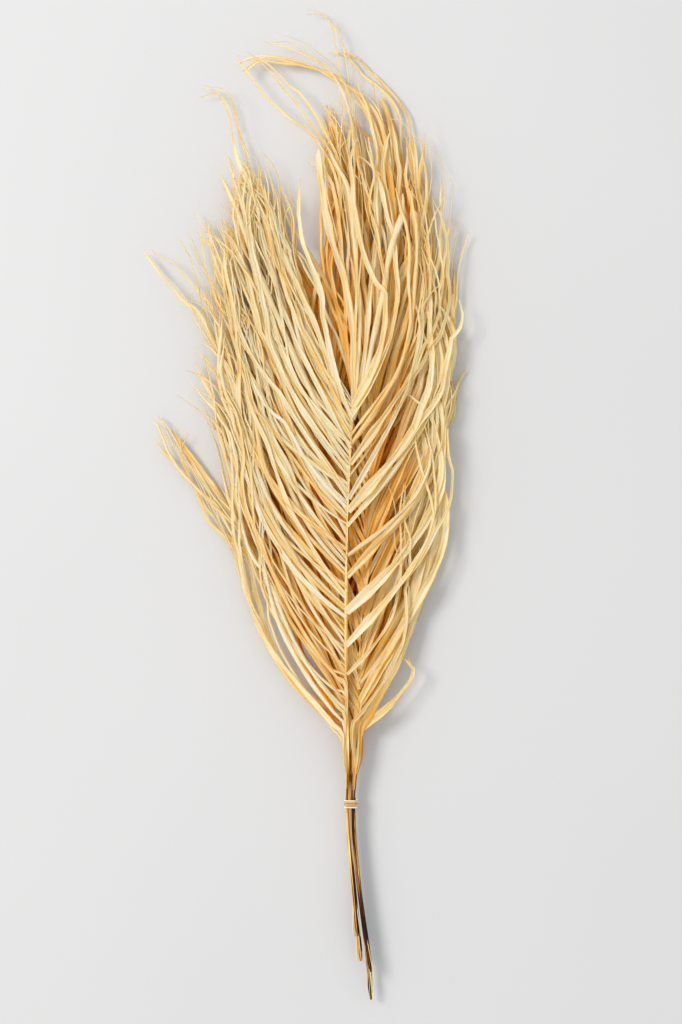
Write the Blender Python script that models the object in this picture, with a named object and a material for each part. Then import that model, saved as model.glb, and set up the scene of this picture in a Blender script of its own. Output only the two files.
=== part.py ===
"""A tied bunch of four dried areca palm fronds, lying on a flat surface.

Each frond grew as one piece: a bare stalk, a midrib that thins towards its end, and two rows of narrow
folded leaflets that leave the midrib and sweep forwards. The four stalks are held by a few turns of string.
The fronds lie one over another, so each has a layer of its own, and the layers draw together at the string
and at the edges.

The origin is in the middle of the bunch's footprint, on the surface. +Y points to the leaf tips and +Z up.
Points in the lists are in millimetres, and everything that is built is in metres.
"""

import math
import random
from dataclasses import dataclass

import bmesh
import bpy
from mathutils import Vector

MM = 0.001

# Sizes
STALK_RADIUS = 2.1 * MM
MIDRIB_END_RADIUS = 0.8 * MM
STALK_SPACING = 4.9 * MM
LEAFLET_WIDTH = 4.6 * MM
LEAFLET_RIDGE = 1.5 * MM
STRING_RADIUS = 0.7 * MM
STRING_PITCH = 1.65 * MM
STRING_TURNS = 5
STEPS_PER_TURN = 16
CLEARANCE = 0.6 * MM

# Where things are along the bunch
TIE_CENTRE = Vector((46.6, -297.0, 16.0)) * MM
STALK_LEAN = Vector((0.2, -8.0, 0.0)) * MM
CROWN_Y = -232.0 * MM
MIDRIB_X = 46.0 * MM

# Heights of the four layers, lowest first: where the leaflets begin, in the middle, towards the tips and
# at the edges
CROWN_HEIGHTS = (10.0 * MM, 15.6 * MM, 21.2 * MM, 26.8 * MM)
MIDDLE_HEIGHTS = (2.4 * MM, 12.0 * MM, 21.5 * MM, 31.0 * MM)
TIP_HEIGHTS = (5.6 * MM, 11.1 * MM, 16.6 * MM, 22.1 * MM)
EDGE_HEIGHTS = (7.6 * MM, 12.9 * MM, 18.2 * MM, 23.5 * MM)
CROWN_TO_MIDDLE = (CROWN_Y, -110.0 * MM)
MIDDLE_TO_TIP = (60.0 * MM, 280.0 * MM)
LIES_FROM_Y = -150.0 * MM
EDGE_LEFT = 140.0 * MM
EDGE_RIGHT = 95.0 * MM

# The leaflets of a row lie in turn at these heights over their layer, so that neighbours pass clear
STAGGER = (-1.65 * MM, 0.0, 1.65 * MM)
STAGGER_FULL_AT = 0.22

# A leaflet that rests on the surface comes down over this stretch of its length
COMES_DOWN = (0.2, 0.75)

# Where along a leaflet its outline is taken, and how wide it is there
LEAFLET_STATIONS = (0.0, 0.14, 0.4, 0.7, 1.0)
LEAFLET_WIDTHS = (0.5, 0.95, 1.0, 0.78, 0.5)
WIDTH_SCATTER = (0.85, 1.1)
TIP_SCATTER = 7.0
HEADING_SCATTER = 3.0

# The stalk's section is an octagon that stands on a flat side
STALK_SIDES = 8
STALK_STEPS = 3
MIDRIB_STEPS = 14
FLAT_SIDE_TURN = math.pi / STALK_SIDES
FLAT_SIDE_DISTANCE = math.cos(FLAT_SIDE_TURN)

# Finishes
STRAW = (0.83, 0.66, 0.40, 1.0)
STRAW_ROUGHNESS = 0.6
STRING_CREAM = (0.86, 0.75, 0.58, 1.0)
STRING_ROUGHNESS = 0.8
SHARP_FROM = math.radians(50)


@dataclass
class Row:
    """One row of leaflets. tips holds (share of the midrib, x, y) of leaflet tips in millimetres. leave and
    arrive are headings in degrees from +Y, positive to the right, for the lowest and the highest leaflet.
    keep says how far the leaflets keep those headings, as shares of their reach."""

    count: int
    tips: tuple
    leave: tuple
    arrive: tuple
    keep: tuple = (0.4, 0.36)


@dataclass
class Frond:
    """A frond. layer counts from the lowest, and place is where its stalk passes through the string, in
    stalk spacings. stalk and midrib are centre lines in millimetres. long_leaflets have a course of their
    own, each as (share of the midrib, width, points to its tip), and resting_leaflets come down to lie on
    the surface."""

    name: str
    layer: int
    place: tuple
    seed: int
    stalk: tuple
    midrib: tuple
    left: Row
    right: Row
    long_leaflets: tuple
    resting_leaflets: tuple = ()


FRONDS = (
    Frond(
        name="frond_1",
        layer=3,
        place=(-0.5, 0.5),
        seed=11,
        stalk=((53.6, -429.0, 21.0), (50.0, -384.0, 20.0), (45.4, -335.0, 18.6)),
        midrib=((44.0, -232.0), (42.0, -134.0), (43.0, -44.0), (44.5, 16.0), (47.0, 66.0), (50.0, 104.0)),
        left=Row(
            count=24,
            tips=(
                (0.0, -90, 106), (0.25, -82, 176), (0.5, -78, 256),
                (0.7, -70, 326), (0.85, -50, 341), (1.0, -18, 306),
            ),
            leave=(-48.0, -34.0),
            arrive=(-22.0, -14.0),
            keep=(0.46, 0.42),
        ),
        right=Row(
            count=12,
            tips=(
                (0.0, 122, -14), (0.25, 124, 106), (0.5, 127, 206),
                (0.7, 126, 291), (0.87, 108, 356), (1.0, 34, 368),
            ),
            leave=(46.0, 34.0),
            arrive=(-3.0, -10.0),
            keep=(0.52, 0.46),
        ),
        long_leaflets=(
            (0.96, 0.85, ((52, 256), (54, 350), (47, 404), (34, 434), (13, 453), (-10, 467), (-28, 473))),
            (0.66, 1.25, ((26, 56), (-12, 186), (-42, 276), (-61, 331), (-70, 362))),
            (0.6, 1.15, ((18, 36), (-30, 186), (-61, 276), (-82, 331))),
        ),
    ),
    Frond(
        name="frond_2",
        layer=2,
        place=(0.5, 0.5),
        seed=12,
        stalk=((67.0, -465.0, 20.0), (61.2, -425.0, 19.6), (55.6, -384.0, 19.2), (50.6, -335.0, 18.5)),
        midrib=((53.0, -232.0), (55.0, -180.0), (58.0, -110.0), (61.0, -40.0), (64.0, 40.0), (69.0, 108.0)),
        left=Row(
            count=29,
            tips=(
                (0.0, -74, 36), (0.25, -78, 126), (0.5, -82, 216), (0.7, -66, 306),
                (0.84, -32, 306), (0.841, 32, 350), (1.0, 38, 388),
            ),
            leave=(-22.0, -10.0),
            arrive=(-26.0, -10.0),
        ),
        right=Row(
            count=33,
            tips=(
                (0.0, 122, -54), (0.25, 126, 66), (0.5, 127, 166), (0.7, 128, 296),
                (0.87, 105, 380), (0.95, 78, 420), (1.0, 46, 420),
            ),
            leave=(27.0, 4.0),
            arrive=(2.0, -24.0),
        ),
        long_leaflets=(
            (0.93, 1.3, ((81, 206), (88, 286), (84, 353), (74, 388), (58, 408), (36, 426), (11, 438),
                         (-19, 446), (-46, 450), (-60, 445), (-70, 435))),
            (0.97, 1.0, ((56, 206), (47, 290), (40, 330), (30, 352), (14, 372), (-4, 396), (-22, 420),
                         (-39, 443), (-55, 454))),
            (0.02, 1.1, ((81, -203), (97, -188), (106, -173), (108, -160), (103, -150))),
        ),
    ),
    Frond(
        name="frond_3",
        layer=1,
        place=(-0.5, -0.5),
        seed=13,
        stalk=((57.0, -455.5, 13.0), (53.4, -420.0, 13.1), (50.1, -384.0, 13.3), (45.4, -335.0, 13.5)),
        midrib=((46.5, -232.0), (43.0, -134.0), (39.0, -44.0), (35.0, 16.0), (30.0, 66.0), (26.0, 112.0)),
        left=Row(
            count=38,
            tips=(
                (0.0, -96, 76), (0.2, -90, 131), (0.45, -88, 236), (0.65, -78, 312),
                (0.82, -66, 352), (0.9, -30, 306), (0.901, 32, 356), (1.0, 34, 372),
            ),
            leave=(-50.0, -14.0),
            arrive=(-28.0, -8.0),
        ),
        right=Row(
            count=32,
            tips=(
                (0.0, 104, -14), (0.25, 112, 76), (0.5, 108, 186),
                (0.7, 98, 276), (0.87, 82, 382), (1.0, 34, 346),
            ),
            leave=(20.0, 3.0),
            arrive=(4.0, -14.0),
        ),
        long_leaflets=(
            (0.98, 0.85, ((42, 206), (51, 330), (48, 400), (43, 440), (38, 466), (29, 484), (17, 492),
                         (5, 492))),
            (0.28, 0.85, ((0, -20), (-54, 112), (-82, 146), (-110, 193), (-139, 231), (-162, 257))),
            (0.5, 0.85, ((-40, 106), (-79, 176), (-99, 231), (-116, 274))),
            (0.92, 0.85, ((-4, 186), (-42, 290), (-60, 356), (-72, 404), (-80, 415), (-98, 419))),
        ),
    ),
    Frond(
        name="frond_4",
        layer=0,
        place=(0.5, -0.5),
        seed=14,
        stalk=(
            (67.0, -494.0, 12.4), (64.4, -455.0, 12.5), (60.6, -425.0, 12.7),
            (55.4, -384.0, 13.0), (50.6, -335.0, 13.5),
        ),
        midrib=((51.0, -232.0), (50.0, -134.0), (52.0, -44.0), (56.0, 16.0), (60.0, 66.0), (64.0, 122.0)),
        left=Row(
            count=35,
            tips=(
                (0.0, -138, 70), (0.04, -130, 84), (0.041, -62, -24), (0.25, -74, 56),
                (0.5, -80, 146), (0.7, -76, 246),
                (0.8, -44, 316), (0.86, -28, 296), (0.861, 34, 372), (1.0, 44, 400),
            ),
            leave=(-26.0, -10.0),
            arrive=(-28.0, -8.0),
        ),
        right=Row(
            count=37,
            tips=(
                (0.0, 122, -64), (0.2, 126, 66), (0.45, 128, 206), (0.65, 130, 276),
                (0.85, 91, 392), (0.94, 58, 436), (1.0, 26, 360),
            ),
            leave=(30.0, 5.0),
            arrive=(2.0, -26.0),
        ),
        long_leaflets=(
            (0.9, 0.85, ((104, 256), (109, 340), (107, 373), (101, 396), (84, 417), (66, 434), (49, 451),
                        (32, 458))),
            (0.42, 0.85, ((130, 40), (140, 106), (146, 186), (154, 254), (162, 284))),
            (0.01, 1.1, ((-8, -184), (-42, -126), (-69, -49), (-109, 29), (-140, 82), (-148, 92))),
        ),
        resting_leaflets=(
            (0.3, 1.2, ((-30, -44), (-62, 26), (-78, 66), (-88, 96))),
            (0.3, 1.2, ((104, -50), (124, 0), (130, 40), (133, 76))),
            (0.8, 1.2, ((64, 166), (66, 236), (68, 286), (69, 322))),
        ),
    ),
)


def smoothstep(low, high, value):
    share = min(1.0, max(0.0, (value - low) / (high - low)))
    return share * share * (3.0 - 2.0 * share)


def mix(a, b, share):
    return a + (b - a) * share


def along(points, share):
    """The point at a share of the way through points, on the smooth curve that passes through all of them."""
    last = len(points) - 1
    at = min(last - 1e-9, max(0.0, share * last))
    i = int(at)
    t = at - i
    a, b = points[i], points[i + 1]
    before = points[i - 1] if i > 0 else 2.0 * a - b
    after = points[i + 2] if i + 2 <= last else 2.0 * b - a
    square = 2.0 * before - 5.0 * a + 4.0 * b - after
    cube = 3.0 * a - before - 3.0 * b + after
    return 0.5 * (2.0 * a + (b - before) * t + square * t**2 + cube * t**3)


def heading(degrees):
    return Vector((math.sin(math.radians(degrees)), math.cos(math.radians(degrees))))


def layer_height(layer, x, y):
    """The height of a layer over a point of the surface. Every mix below keeps the layers in their order."""
    middle = mix(CROWN_HEIGHTS[layer], MIDDLE_HEIGHTS[layer], smoothstep(*CROWN_TO_MIDDLE, y))
    middle = mix(middle, TIP_HEIGHTS[layer], smoothstep(*MIDDLE_TO_TIP, y))
    aside = x - MIDRIB_X
    outwards = aside / EDGE_RIGHT if aside > 0 else -aside / EDGE_LEFT
    return mix(middle, EDGE_HEIGHTS[layer], smoothstep(0.0, 1.0, outwards))


def midrib_radius(share):
    return mix(STALK_RADIUS, MIDRIB_END_RADIUS, share**0.8)


def midrib_point(frond, share):
    plan = along([Vector(p) * MM for p in frond.midrib], share)
    z = layer_height(frond.layer, plan.x, plan.y)
    if frond.layer == 0:
        on_the_surface = midrib_radius(share) * FLAT_SIDE_DISTANCE
        z = mix(z, on_the_surface, smoothstep(CROWN_Y, LIES_FROM_Y, plan.y))
    return Vector((plan.x, plan.y, z))


def tip_of(row, share):
    """The tip of the leaflet that leaves the midrib at this share of its length, in metres."""
    for (low, *start), (high, *end) in zip(row.tips, row.tips[1:]):
        if share <= high:
            return mix(Vector(start), Vector(end), (share - low) / (high - low)) * MM
    return Vector(row.tips[-1][1:]) * MM


def leaflet_line(frond, row, share, lift, draw):
    """Points of a leaflet from its root inside the midrib to its tip."""
    root = midrib_point(frond, share)
    scatter = Vector((draw.uniform(-1, 1), draw.uniform(-2, 2))) * TIP_SCATTER * MM
    tip = tip_of(row, share) + scatter
    leave = heading(mix(*row.leave, share) + draw.uniform(-1, 1) * HEADING_SCATTER)
    arrive = heading(mix(*row.arrive, share) + draw.uniform(-2, 2) * HEADING_SCATTER)
    reach = (tip - root.xy).length
    handles = (root.xy, root.xy + leave * reach * row.keep[0], tip - arrive * reach * row.keep[1], tip)
    line = []
    for t in LEAFLET_STATIONS:
        weights = ((1 - t) ** 3, 3 * t * (1 - t) ** 2, 3 * t * t * (1 - t), t**3)
        plan = sum((w * h for w, h in zip(weights, handles)), Vector((0.0, 0.0)))
        line.append(over_layer(frond, root, plan, t, lift))
    return line


def over_layer(frond, root, plan, t, lift):
    """A point of a leaflet over its layer. It leaves the midrib's own height at the root."""
    z = layer_height(frond.layer, plan.x, plan.y) + lift
    return Vector((plan.x, plan.y, mix(root.z, z, smoothstep(0.0, STAGGER_FULL_AT, t))))


def long_leaflet_line(frond, share, points, lift, rests):
    """Points of a leaflet with a course of its own. One that rests comes down to lie flat on the surface."""
    root = midrib_point(frond, share)
    course = [root.xy] + [Vector(p) * MM for p in points]
    count = max(len(LEAFLET_STATIONS), len(course) + 1)
    line = []
    for i in range(count):
        t = i / (count - 1)
        point = over_layer(frond, root, along(course, t), t, lift)
        if rests:
            point.z = mix(point.z, 0.0, smoothstep(*COMES_DOWN, t))
        line.append(point)
    return line


def width_at(t):
    last = len(LEAFLET_STATIONS) - 1
    for i in range(last):
        low, high = LEAFLET_STATIONS[i], LEAFLET_STATIONS[i + 1]
        if t <= high:
            return mix(LEAFLET_WIDTHS[i], LEAFLET_WIDTHS[i + 1], (t - low) / (high - low))
    return LEAFLET_WIDTHS[-1]


def clear_scene():
    for obj in list(bpy.data.objects):
        bpy.data.objects.remove(obj)


def new_collection(name):
    collection = bpy.data.collections.new(name)
    bpy.context.scene.collection.children.link(collection)
    return collection


def new_material(name, colour, roughness):
    material = bpy.data.materials.new(name)
    material.use_nodes = True
    shader = material.node_tree.nodes["Principled BSDF"]
    shader.inputs["Base Color"].default_value = colour
    shader.inputs["Roughness"].default_value = roughness
    shader.inputs["Metallic"].default_value = 0.0
    return material


def outline_curve(name, points, collection):
    """A closed outline that another curve is swept with. Its unit is that curve's radius."""
    data = bpy.data.curves.new(name, "CURVE")
    data.dimensions = "2D"
    spline = data.splines.new("POLY")
    spline.points.add(len(points) - 1)
    for point, (x, y) in zip(spline.points, points):
        point.co = (x, y, 0.0, 1.0)
    spline.use_cyclic_u = True
    obj = bpy.data.objects.new(name, data)
    obj.hide_render = True
    obj.display_type = "WIRE"
    collection.objects.link(obj)
    return obj


def swept_mesh(name, line, radii, outline):
    """A closed mesh: the outline swept along the line, with its ends filled."""
    data = bpy.data.curves.new(name, "CURVE")
    data.dimensions = "3D"
    data.twist_mode = "Z_UP"
    data.bevel_mode = "OBJECT"
    data.bevel_object = outline
    data.use_fill_caps = True
    spline = data.splines.new("POLY")
    spline.points.add(len(line) - 1)
    for point, co, radius in zip(spline.points, line, radii):
        point.co = (*co, 1.0)
        point.radius = radius
    curve = bpy.data.objects.new(name + "_curve", data)
    bpy.context.scene.collection.objects.link(curve)
    bpy.context.view_layer.update()
    graph = bpy.context.evaluated_depsgraph_get()
    mesh = bpy.data.meshes.new_from_object(curve.evaluated_get(graph))
    mesh.name = name
    bpy.data.objects.remove(curve)
    shape = bmesh.new()
    shape.from_mesh(mesh)
    bmesh.ops.remove_doubles(shape, verts=shape.verts, dist=0.001 * MM)
    bmesh.ops.recalc_face_normals(shape, faces=shape.faces)
    shape.to_mesh(mesh)
    shape.free()
    return mesh


def keep_outer_skin(mesh):
    """Drops the small shells that a union leaves inside, where blades close round a pocket."""
    shape = bmesh.new()
    shape.from_mesh(mesh)
    unseen = set(shape.verts)
    shells = []
    while unseen:
        shell = set()
        edge = [unseen.pop()]
        while edge:
            vert = edge.pop()
            shell.add(vert)
            near = [e.other_vert(vert) for e in vert.link_edges]
            edge.extend(v for v in near if v in unseen)
            unseen.difference_update(near)
        shells.append(shell)
    outer = max(shells, key=len)
    bmesh.ops.delete(shape, geom=[v for v in shape.verts if v not in outer], context="VERTS")
    shape.to_mesh(mesh)
    shape.free()


def mesh_object(name, mesh, collection, material=None):
    if material is not None:
        mesh.materials.clear()
        mesh.materials.append(material)
    obj = bpy.data.objects.new(name, mesh)
    collection.objects.link(obj)
    return obj


def stalk_and_midrib(frond, outline):
    """The frond's one stem, from its cut end through the string to the end of the midrib."""
    column, level = frond.place
    in_tie = TIE_CENTRE + Vector((column, 0.0, level)) * STALK_SPACING
    below = [Vector(p) * MM for p in frond.stalk] + [in_tie + STALK_LEAN, in_tie - STALK_LEAN]
    above = [midrib_point(frond, i / MIDRIB_STEPS) for i in range(MIDRIB_STEPS + 1)]
    course = below + above[:2]
    steps = STALK_STEPS * len(below)
    share_below = len(below) / (len(course) - 1)
    line = [along(course, share_below * i / steps) for i in range(steps)]
    radii = [STALK_RADIUS] * steps + [midrib_radius(i / MIDRIB_STEPS) for i in range(MIDRIB_STEPS + 1)]
    return swept_mesh(frond.name, line + above, radii, outline)


def leaflet_meshes(frond, outline):
    """Every leaflet of a frond as a closed mesh, root to tip."""
    half = LEAFLET_WIDTH / 2
    draw = random.Random(frond.seed)
    meshes = []
    for side, row in (("left", frond.left), ("right", frond.right)):
        offset = 0.25 if side == "left" else 0.75
        for i in range(row.count):
            share = (i + offset) / row.count
            lift = STAGGER[i % len(STAGGER)]
            line = leaflet_line(frond, row, share, lift, draw)
            broad = half * draw.uniform(*WIDTH_SCATTER)
            radii = [width * broad for width in LEAFLET_WIDTHS]
            meshes.append(swept_mesh(f"{frond.name}_{side}_{i}", line, radii, outline))
    for rests, leaflets in ((False, frond.long_leaflets), (True, frond.resting_leaflets)):
        for i, (share, width, points) in enumerate(leaflets):
            line = long_leaflet_line(frond, share, points, STAGGER[i % len(STAGGER)], rests)
            last = len(line) - 1
            radii = [half * width * width_at(k / last) for k in range(last + 1)]
            meshes.append(swept_mesh(f"{frond.name}_long_{rests}_{i}", line, radii, outline))
    return meshes


def build_frond(frond, outlines, collection, material):
    """One solid: the stem with all its leaflets joined to it."""
    stem = mesh_object(frond.name, stalk_and_midrib(frond, outlines["stalk"]), collection, material)
    leaflets = new_collection(frond.name + "_leaflets")
    for mesh in leaflet_meshes(frond, outlines["leaflet"]):
        mesh_object(mesh.name, mesh, leaflets)
    union = stem.modifiers.new("leaflets", "BOOLEAN")
    union.operation = "UNION"
    union.operand_type = "COLLECTION"
    union.collection = leaflets
    union.solver = "MANIFOLD"
    bpy.context.view_layer.update()
    graph = bpy.context.evaluated_depsgraph_get()
    joined = bpy.data.meshes.new_from_object(stem.evaluated_get(graph))
    keep_outer_skin(joined)
    joined.shade_smooth()
    joined.set_sharp_from_angle(angle=SHARP_FROM)
    stem.modifiers.clear()
    stem.data = joined
    joined.materials.clear()
    joined.materials.append(material)
    for obj in list(leaflets.objects):
        bpy.data.objects.remove(obj)
    bpy.data.collections.remove(leaflets)
    print(frond.name, len(joined.polygons), "faces")
    return stem


def build_tie(collection, material):
    """The string: turns side by side round the four stalks."""
    corner = STALK_SPACING / 2
    round_stalk = STALK_RADIUS + CLEARANCE + STRING_RADIUS
    steps = STEPS_PER_TURN * STRING_TURNS
    line = []
    for i in range(steps + 1):
        turn = (i + 0.5) / STEPS_PER_TURN
        angle = turn * math.tau
        out = Vector((math.cos(angle), 0.0, math.sin(angle)))
        stalk = Vector((math.copysign(corner, out.x), 0.0, math.copysign(corner, out.z)))
        up = Vector((0.0, (turn - STRING_TURNS / 2) * STRING_PITCH, 0.0))
        line.append(TIE_CENTRE + stalk + out * round_stalk + up)
    data = bpy.data.curves.new("tie", "CURVE")
    data.dimensions = "3D"
    data.bevel_depth = STRING_RADIUS
    data.bevel_resolution = 1
    data.use_fill_caps = True
    spline = data.splines.new("POLY")
    spline.points.add(len(line) - 1)
    for point, co in zip(spline.points, line):
        point.co = (*co, 1.0)
    data.materials.append(material)
    obj = bpy.data.objects.new("tie", data)
    collection.objects.link(obj)
    return obj


def main():
    clear_scene()
    bunch = new_collection("areca_palm_bunch")
    guides = new_collection("guides")
    corners = [FLAT_SIDE_TURN + math.tau * i / STALK_SIDES for i in range(STALK_SIDES)]
    outlines = {
        "stalk": outline_curve("stalk_outline", [(math.cos(a), math.sin(a)) for a in corners], guides),
        "leaflet": outline_curve(
            "leaflet_outline", ((-1.0, 0.0), (0.0, LEAFLET_RIDGE / (LEAFLET_WIDTH / 2)), (1.0, 0.0)), guides
        ),
    }
    straw = new_material("dried_palm", STRAW, STRAW_ROUGHNESS)
    for frond in FRONDS:
        build_frond(frond, outlines, bunch, straw)
    build_tie(bunch, new_material("string", STRING_CREAM, STRING_ROUGHNESS))


main()
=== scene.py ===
# %% [markdown]
# A tied bunch of dried areca palm fronds
#
# An areca palm frond is a stalk with two rows of narrow leaflets. As it dries, the leaflets fade to cream and
# ochre, roll up lengthwise into ribbons a few millimetres wide, and split into threads towards their tips.
# Four such fronds lie one over another here, and a few turns of string hold their stalks together.
# A plain solid model of the bunch already exists. This lesson dresses it: every solid frond is replaced by a
# finer one that follows the same rules, and the finishes and the light are made to look like the real thing.

# %% Load the solid model
import math
import random
from dataclasses import dataclass

import bpy
from mathutils import Matrix, Vector


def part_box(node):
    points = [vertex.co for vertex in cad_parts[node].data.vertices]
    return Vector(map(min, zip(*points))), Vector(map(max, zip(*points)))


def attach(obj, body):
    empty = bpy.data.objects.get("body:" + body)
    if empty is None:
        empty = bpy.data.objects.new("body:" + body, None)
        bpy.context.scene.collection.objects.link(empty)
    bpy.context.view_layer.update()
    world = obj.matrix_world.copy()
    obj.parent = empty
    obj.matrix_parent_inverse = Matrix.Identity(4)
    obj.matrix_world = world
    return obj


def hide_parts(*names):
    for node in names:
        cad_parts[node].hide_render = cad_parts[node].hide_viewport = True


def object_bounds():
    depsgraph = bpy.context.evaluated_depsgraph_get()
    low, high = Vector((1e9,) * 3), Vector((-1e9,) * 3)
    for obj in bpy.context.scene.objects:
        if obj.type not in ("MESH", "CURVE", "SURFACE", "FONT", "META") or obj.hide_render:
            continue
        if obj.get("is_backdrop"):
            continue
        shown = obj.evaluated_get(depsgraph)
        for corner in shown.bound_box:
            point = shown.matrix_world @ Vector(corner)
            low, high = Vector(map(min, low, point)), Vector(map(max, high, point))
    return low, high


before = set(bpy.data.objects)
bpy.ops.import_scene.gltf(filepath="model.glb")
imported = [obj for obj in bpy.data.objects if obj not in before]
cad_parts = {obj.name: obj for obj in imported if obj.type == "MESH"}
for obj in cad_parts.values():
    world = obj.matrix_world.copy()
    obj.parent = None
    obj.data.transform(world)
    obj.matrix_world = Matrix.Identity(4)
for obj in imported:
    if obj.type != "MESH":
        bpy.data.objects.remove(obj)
CAD_LOW, CAD_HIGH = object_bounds()
MM = 0.001


def new_object(name, data):
    """A new object in the scene."""
    obj = bpy.data.objects.new(name, data)
    bpy.context.scene.collection.objects.link(obj)
    return obj


print("solid model, in mm:", [round(size / MM) for size in CAD_HIGH - CAD_LOW], sorted(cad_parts))

# %% [markdown]
# The camera looks straight down, as on a thing that lies on a table. An 85 mm lens far above it keeps the
# perspective flat. The frame is as high as the bunch is long, with a little air, and the bunch lies a
# little left of the middle. Blender's sensor is measured along the longer side of the picture, which is the
# upright one here, so the distance follows from the height of the frame.

# %% Camera
LENS = 85.0
SENSOR = 36.0
FRAME_HEIGHT = 1024.0 * MM
FRAME_CENTRE = Vector((37.0, -6.0, 15.0)) * MM

camera = new_object("camera", bpy.data.cameras.new("camera"))
camera.data.lens = LENS
camera.data.sensor_width = SENSOR
camera.location = FRAME_CENTRE + Vector((0.0, 0.0, FRAME_HEIGHT * LENS / SENSOR))
bpy.context.scene.camera = camera
print("camera height in m:", round(camera.location.z, 3))

# %% [markdown]
# Colours are written as sRGB hex values, as a colour picker shows them, but Blender's shaders count light in
# linear numbers. One function turns the first into the second. A second function adds a node to a tree, makes
# its settings and fills its inputs, so that every material and every node tree below reads as a plain list of
# steps.

# %% Two helpers
def linear(hex_colour):
    """The linear colour, with alpha, of an sRGB hex value such as F2DDB5."""
    channels = [int(hex_colour[i : i + 2], 16) / 255 for i in (0, 2, 4)]
    return tuple(c / 12.92 if c <= 0.04045 else ((c + 0.055) / 1.055) ** 2.4 for c in channels) + (1.0,)


def add_node(tree, kind, settings, inputs):
    """A new node with its settings and inputs. An input takes a number, another node's output, or a node,
    which stands for its first output. It is named, or numbered where two share a name."""
    node = tree.nodes.new(kind)
    for name, value in settings.items():
        setattr(node, name, value)
    for key, value in inputs.items():
        if isinstance(value, bpy.types.Node):
            value = value.outputs[0]
        if isinstance(value, bpy.types.NodeSocket):
            tree.links.new(value, node.inputs[key])
        else:
            node.inputs[key].default_value = value
    return node


print("cream in linear light:", [round(c, 3) for c in linear("F2DDB5")])

# %% [markdown]
# Three helpers serve the materials. One begins a material and reads the facts that it needs from the mesh.
# One adds noises to a number, each by its own amount. The last sets what every surface here has: colours that
# follow a number from 0 to 1, a bump from some noise, a roughness and a little gloss.

# %% Helpers for materials
def new_material(name, facts=()):
    """A new material, its node tree, and the facts that it reads from the mesh, by their names."""
    material = bpy.data.materials.new(name)
    material.use_nodes = True
    tree = material.node_tree
    read = {key: add_node(tree, "ShaderNodeAttribute", {"attribute_name": key}, {}).outputs["Fac"]
            for key in facts}
    return material, tree, read


def varied(tree, tone, terms, offset):
    """The tone, plus each term times its amount, plus an offset, kept between 0 and 1."""
    for value, amount in terms:
        tone = add_node(tree, "ShaderNodeMath", {"operation": "MULTIPLY_ADD"}, {0: value, 1: amount, 2: tone})
    return add_node(tree, "ShaderNodeMath", {"operation": "ADD", "use_clamp": True}, {0: tone, 1: offset})


def set_surface(tree, tone, colours, height, bump, roughness, gloss):
    """Sets the shader, and returns the colour and the shader. colours holds a place from 0 to 1 and a hex
    value for each stop. bump holds how strongly the height shows and how far it reaches."""
    colour = add_node(tree, "ShaderNodeValToRGB", {}, {"Fac": tone})
    stops = colour.color_ramp.elements
    while len(stops) < len(colours):
        stops.new(0.5)
    for stop, (place, hex_colour) in zip(stops, colours):
        stop.position = place
        stop.color = linear(hex_colour)
    relief = add_node(tree, "ShaderNodeBump", {},
                      {"Strength": bump[0], "Distance": bump[1], "Height": height})
    shader = tree.nodes["Principled BSDF"]
    shader.inputs["Roughness"].default_value = roughness
    shader.inputs["Specular IOR Level"].default_value = gloss
    tree.links.new(colour.outputs["Color"], shader.inputs["Base Color"])
    tree.links.new(relief.outputs["Normal"], shader.inputs["Normal"])
    return colour, shader


print("helpers for materials are ready")

# %% [markdown]
# The bunch lies on a sheet of matt white paper. A real sheet isn't one flat white: its fibres make it very
# slightly uneven, which a wide noise in the colour and a fine one in the bump give. The grain of paper is
# about half a millimetre, too fine to show from this far, so it is drawn at three.

# %% Paper
PAPER_SIZE = 6.0
PAPER_GRAIN = 3.0 * MM
PAPER_MOTTLE = 400.0 * MM
PAPER_COLOURS = ((0.0, "C4C3C6"), (1.0, "C8C7CA"))
PAPER_RELIEF = (0.05, 0.2 * MM)
PAPER_ROUGHNESS = 0.95
PAPER_GLOSS = 0.1


def paper_material():
    """Matt uncoated paper, pressed from pulp: hardly any gloss, and a faint grain."""
    material, tree, _ = new_material("uncoated_pressed_paper")
    place = add_node(tree, "ShaderNodeTexCoord", {}, {}).outputs["Object"]
    mottle = add_node(tree, "ShaderNodeTexNoise", {},
                      {"Vector": place, "Scale": 1.0 / PAPER_MOTTLE, "Detail": 1.0})
    grain = add_node(tree, "ShaderNodeTexNoise", {},
                     {"Vector": place, "Scale": 1.0 / PAPER_GRAIN, "Detail": 3.0})
    set_surface(tree, mottle, PAPER_COLOURS, grain, PAPER_RELIEF, PAPER_ROUGHNESS, PAPER_GLOSS)
    return material


corners = [Vector((x, y, 0.0)) * PAPER_SIZE / 2 for x, y in ((-1, -1), (1, -1), (1, 1), (-1, 1))]
sheet = bpy.data.meshes.new("paper")
sheet.from_pydata(corners, [], [(0, 1, 2, 3)])
sheet.materials.append(paper_material())
paper = new_object("paper", sheet)
paper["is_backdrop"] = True
print("paper, in m:", PAPER_SIZE)

# %% [markdown]
# The light is that of a studio. Most of it comes from everywhere, and a large soft lamp at the upper left
# adds the rest and throws the shadows to the right. The size of the lamp and its distance decide how soft
# the shadows are, and its height over the table how far they reach. The Standard view transform keeps the
# colours as the hex values say.

# %% Light
AMBIENT = 0.94
KEY_POWER = 173.0
KEY_SIZE = 1.7
KEY_AIM = Vector((40.0, 0.0, 0.0)) * MM
KEY_DISTANCE = 5.0
KEY_FROM = Vector((-1.0, 0.45, 1.25)).normalized()

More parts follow.
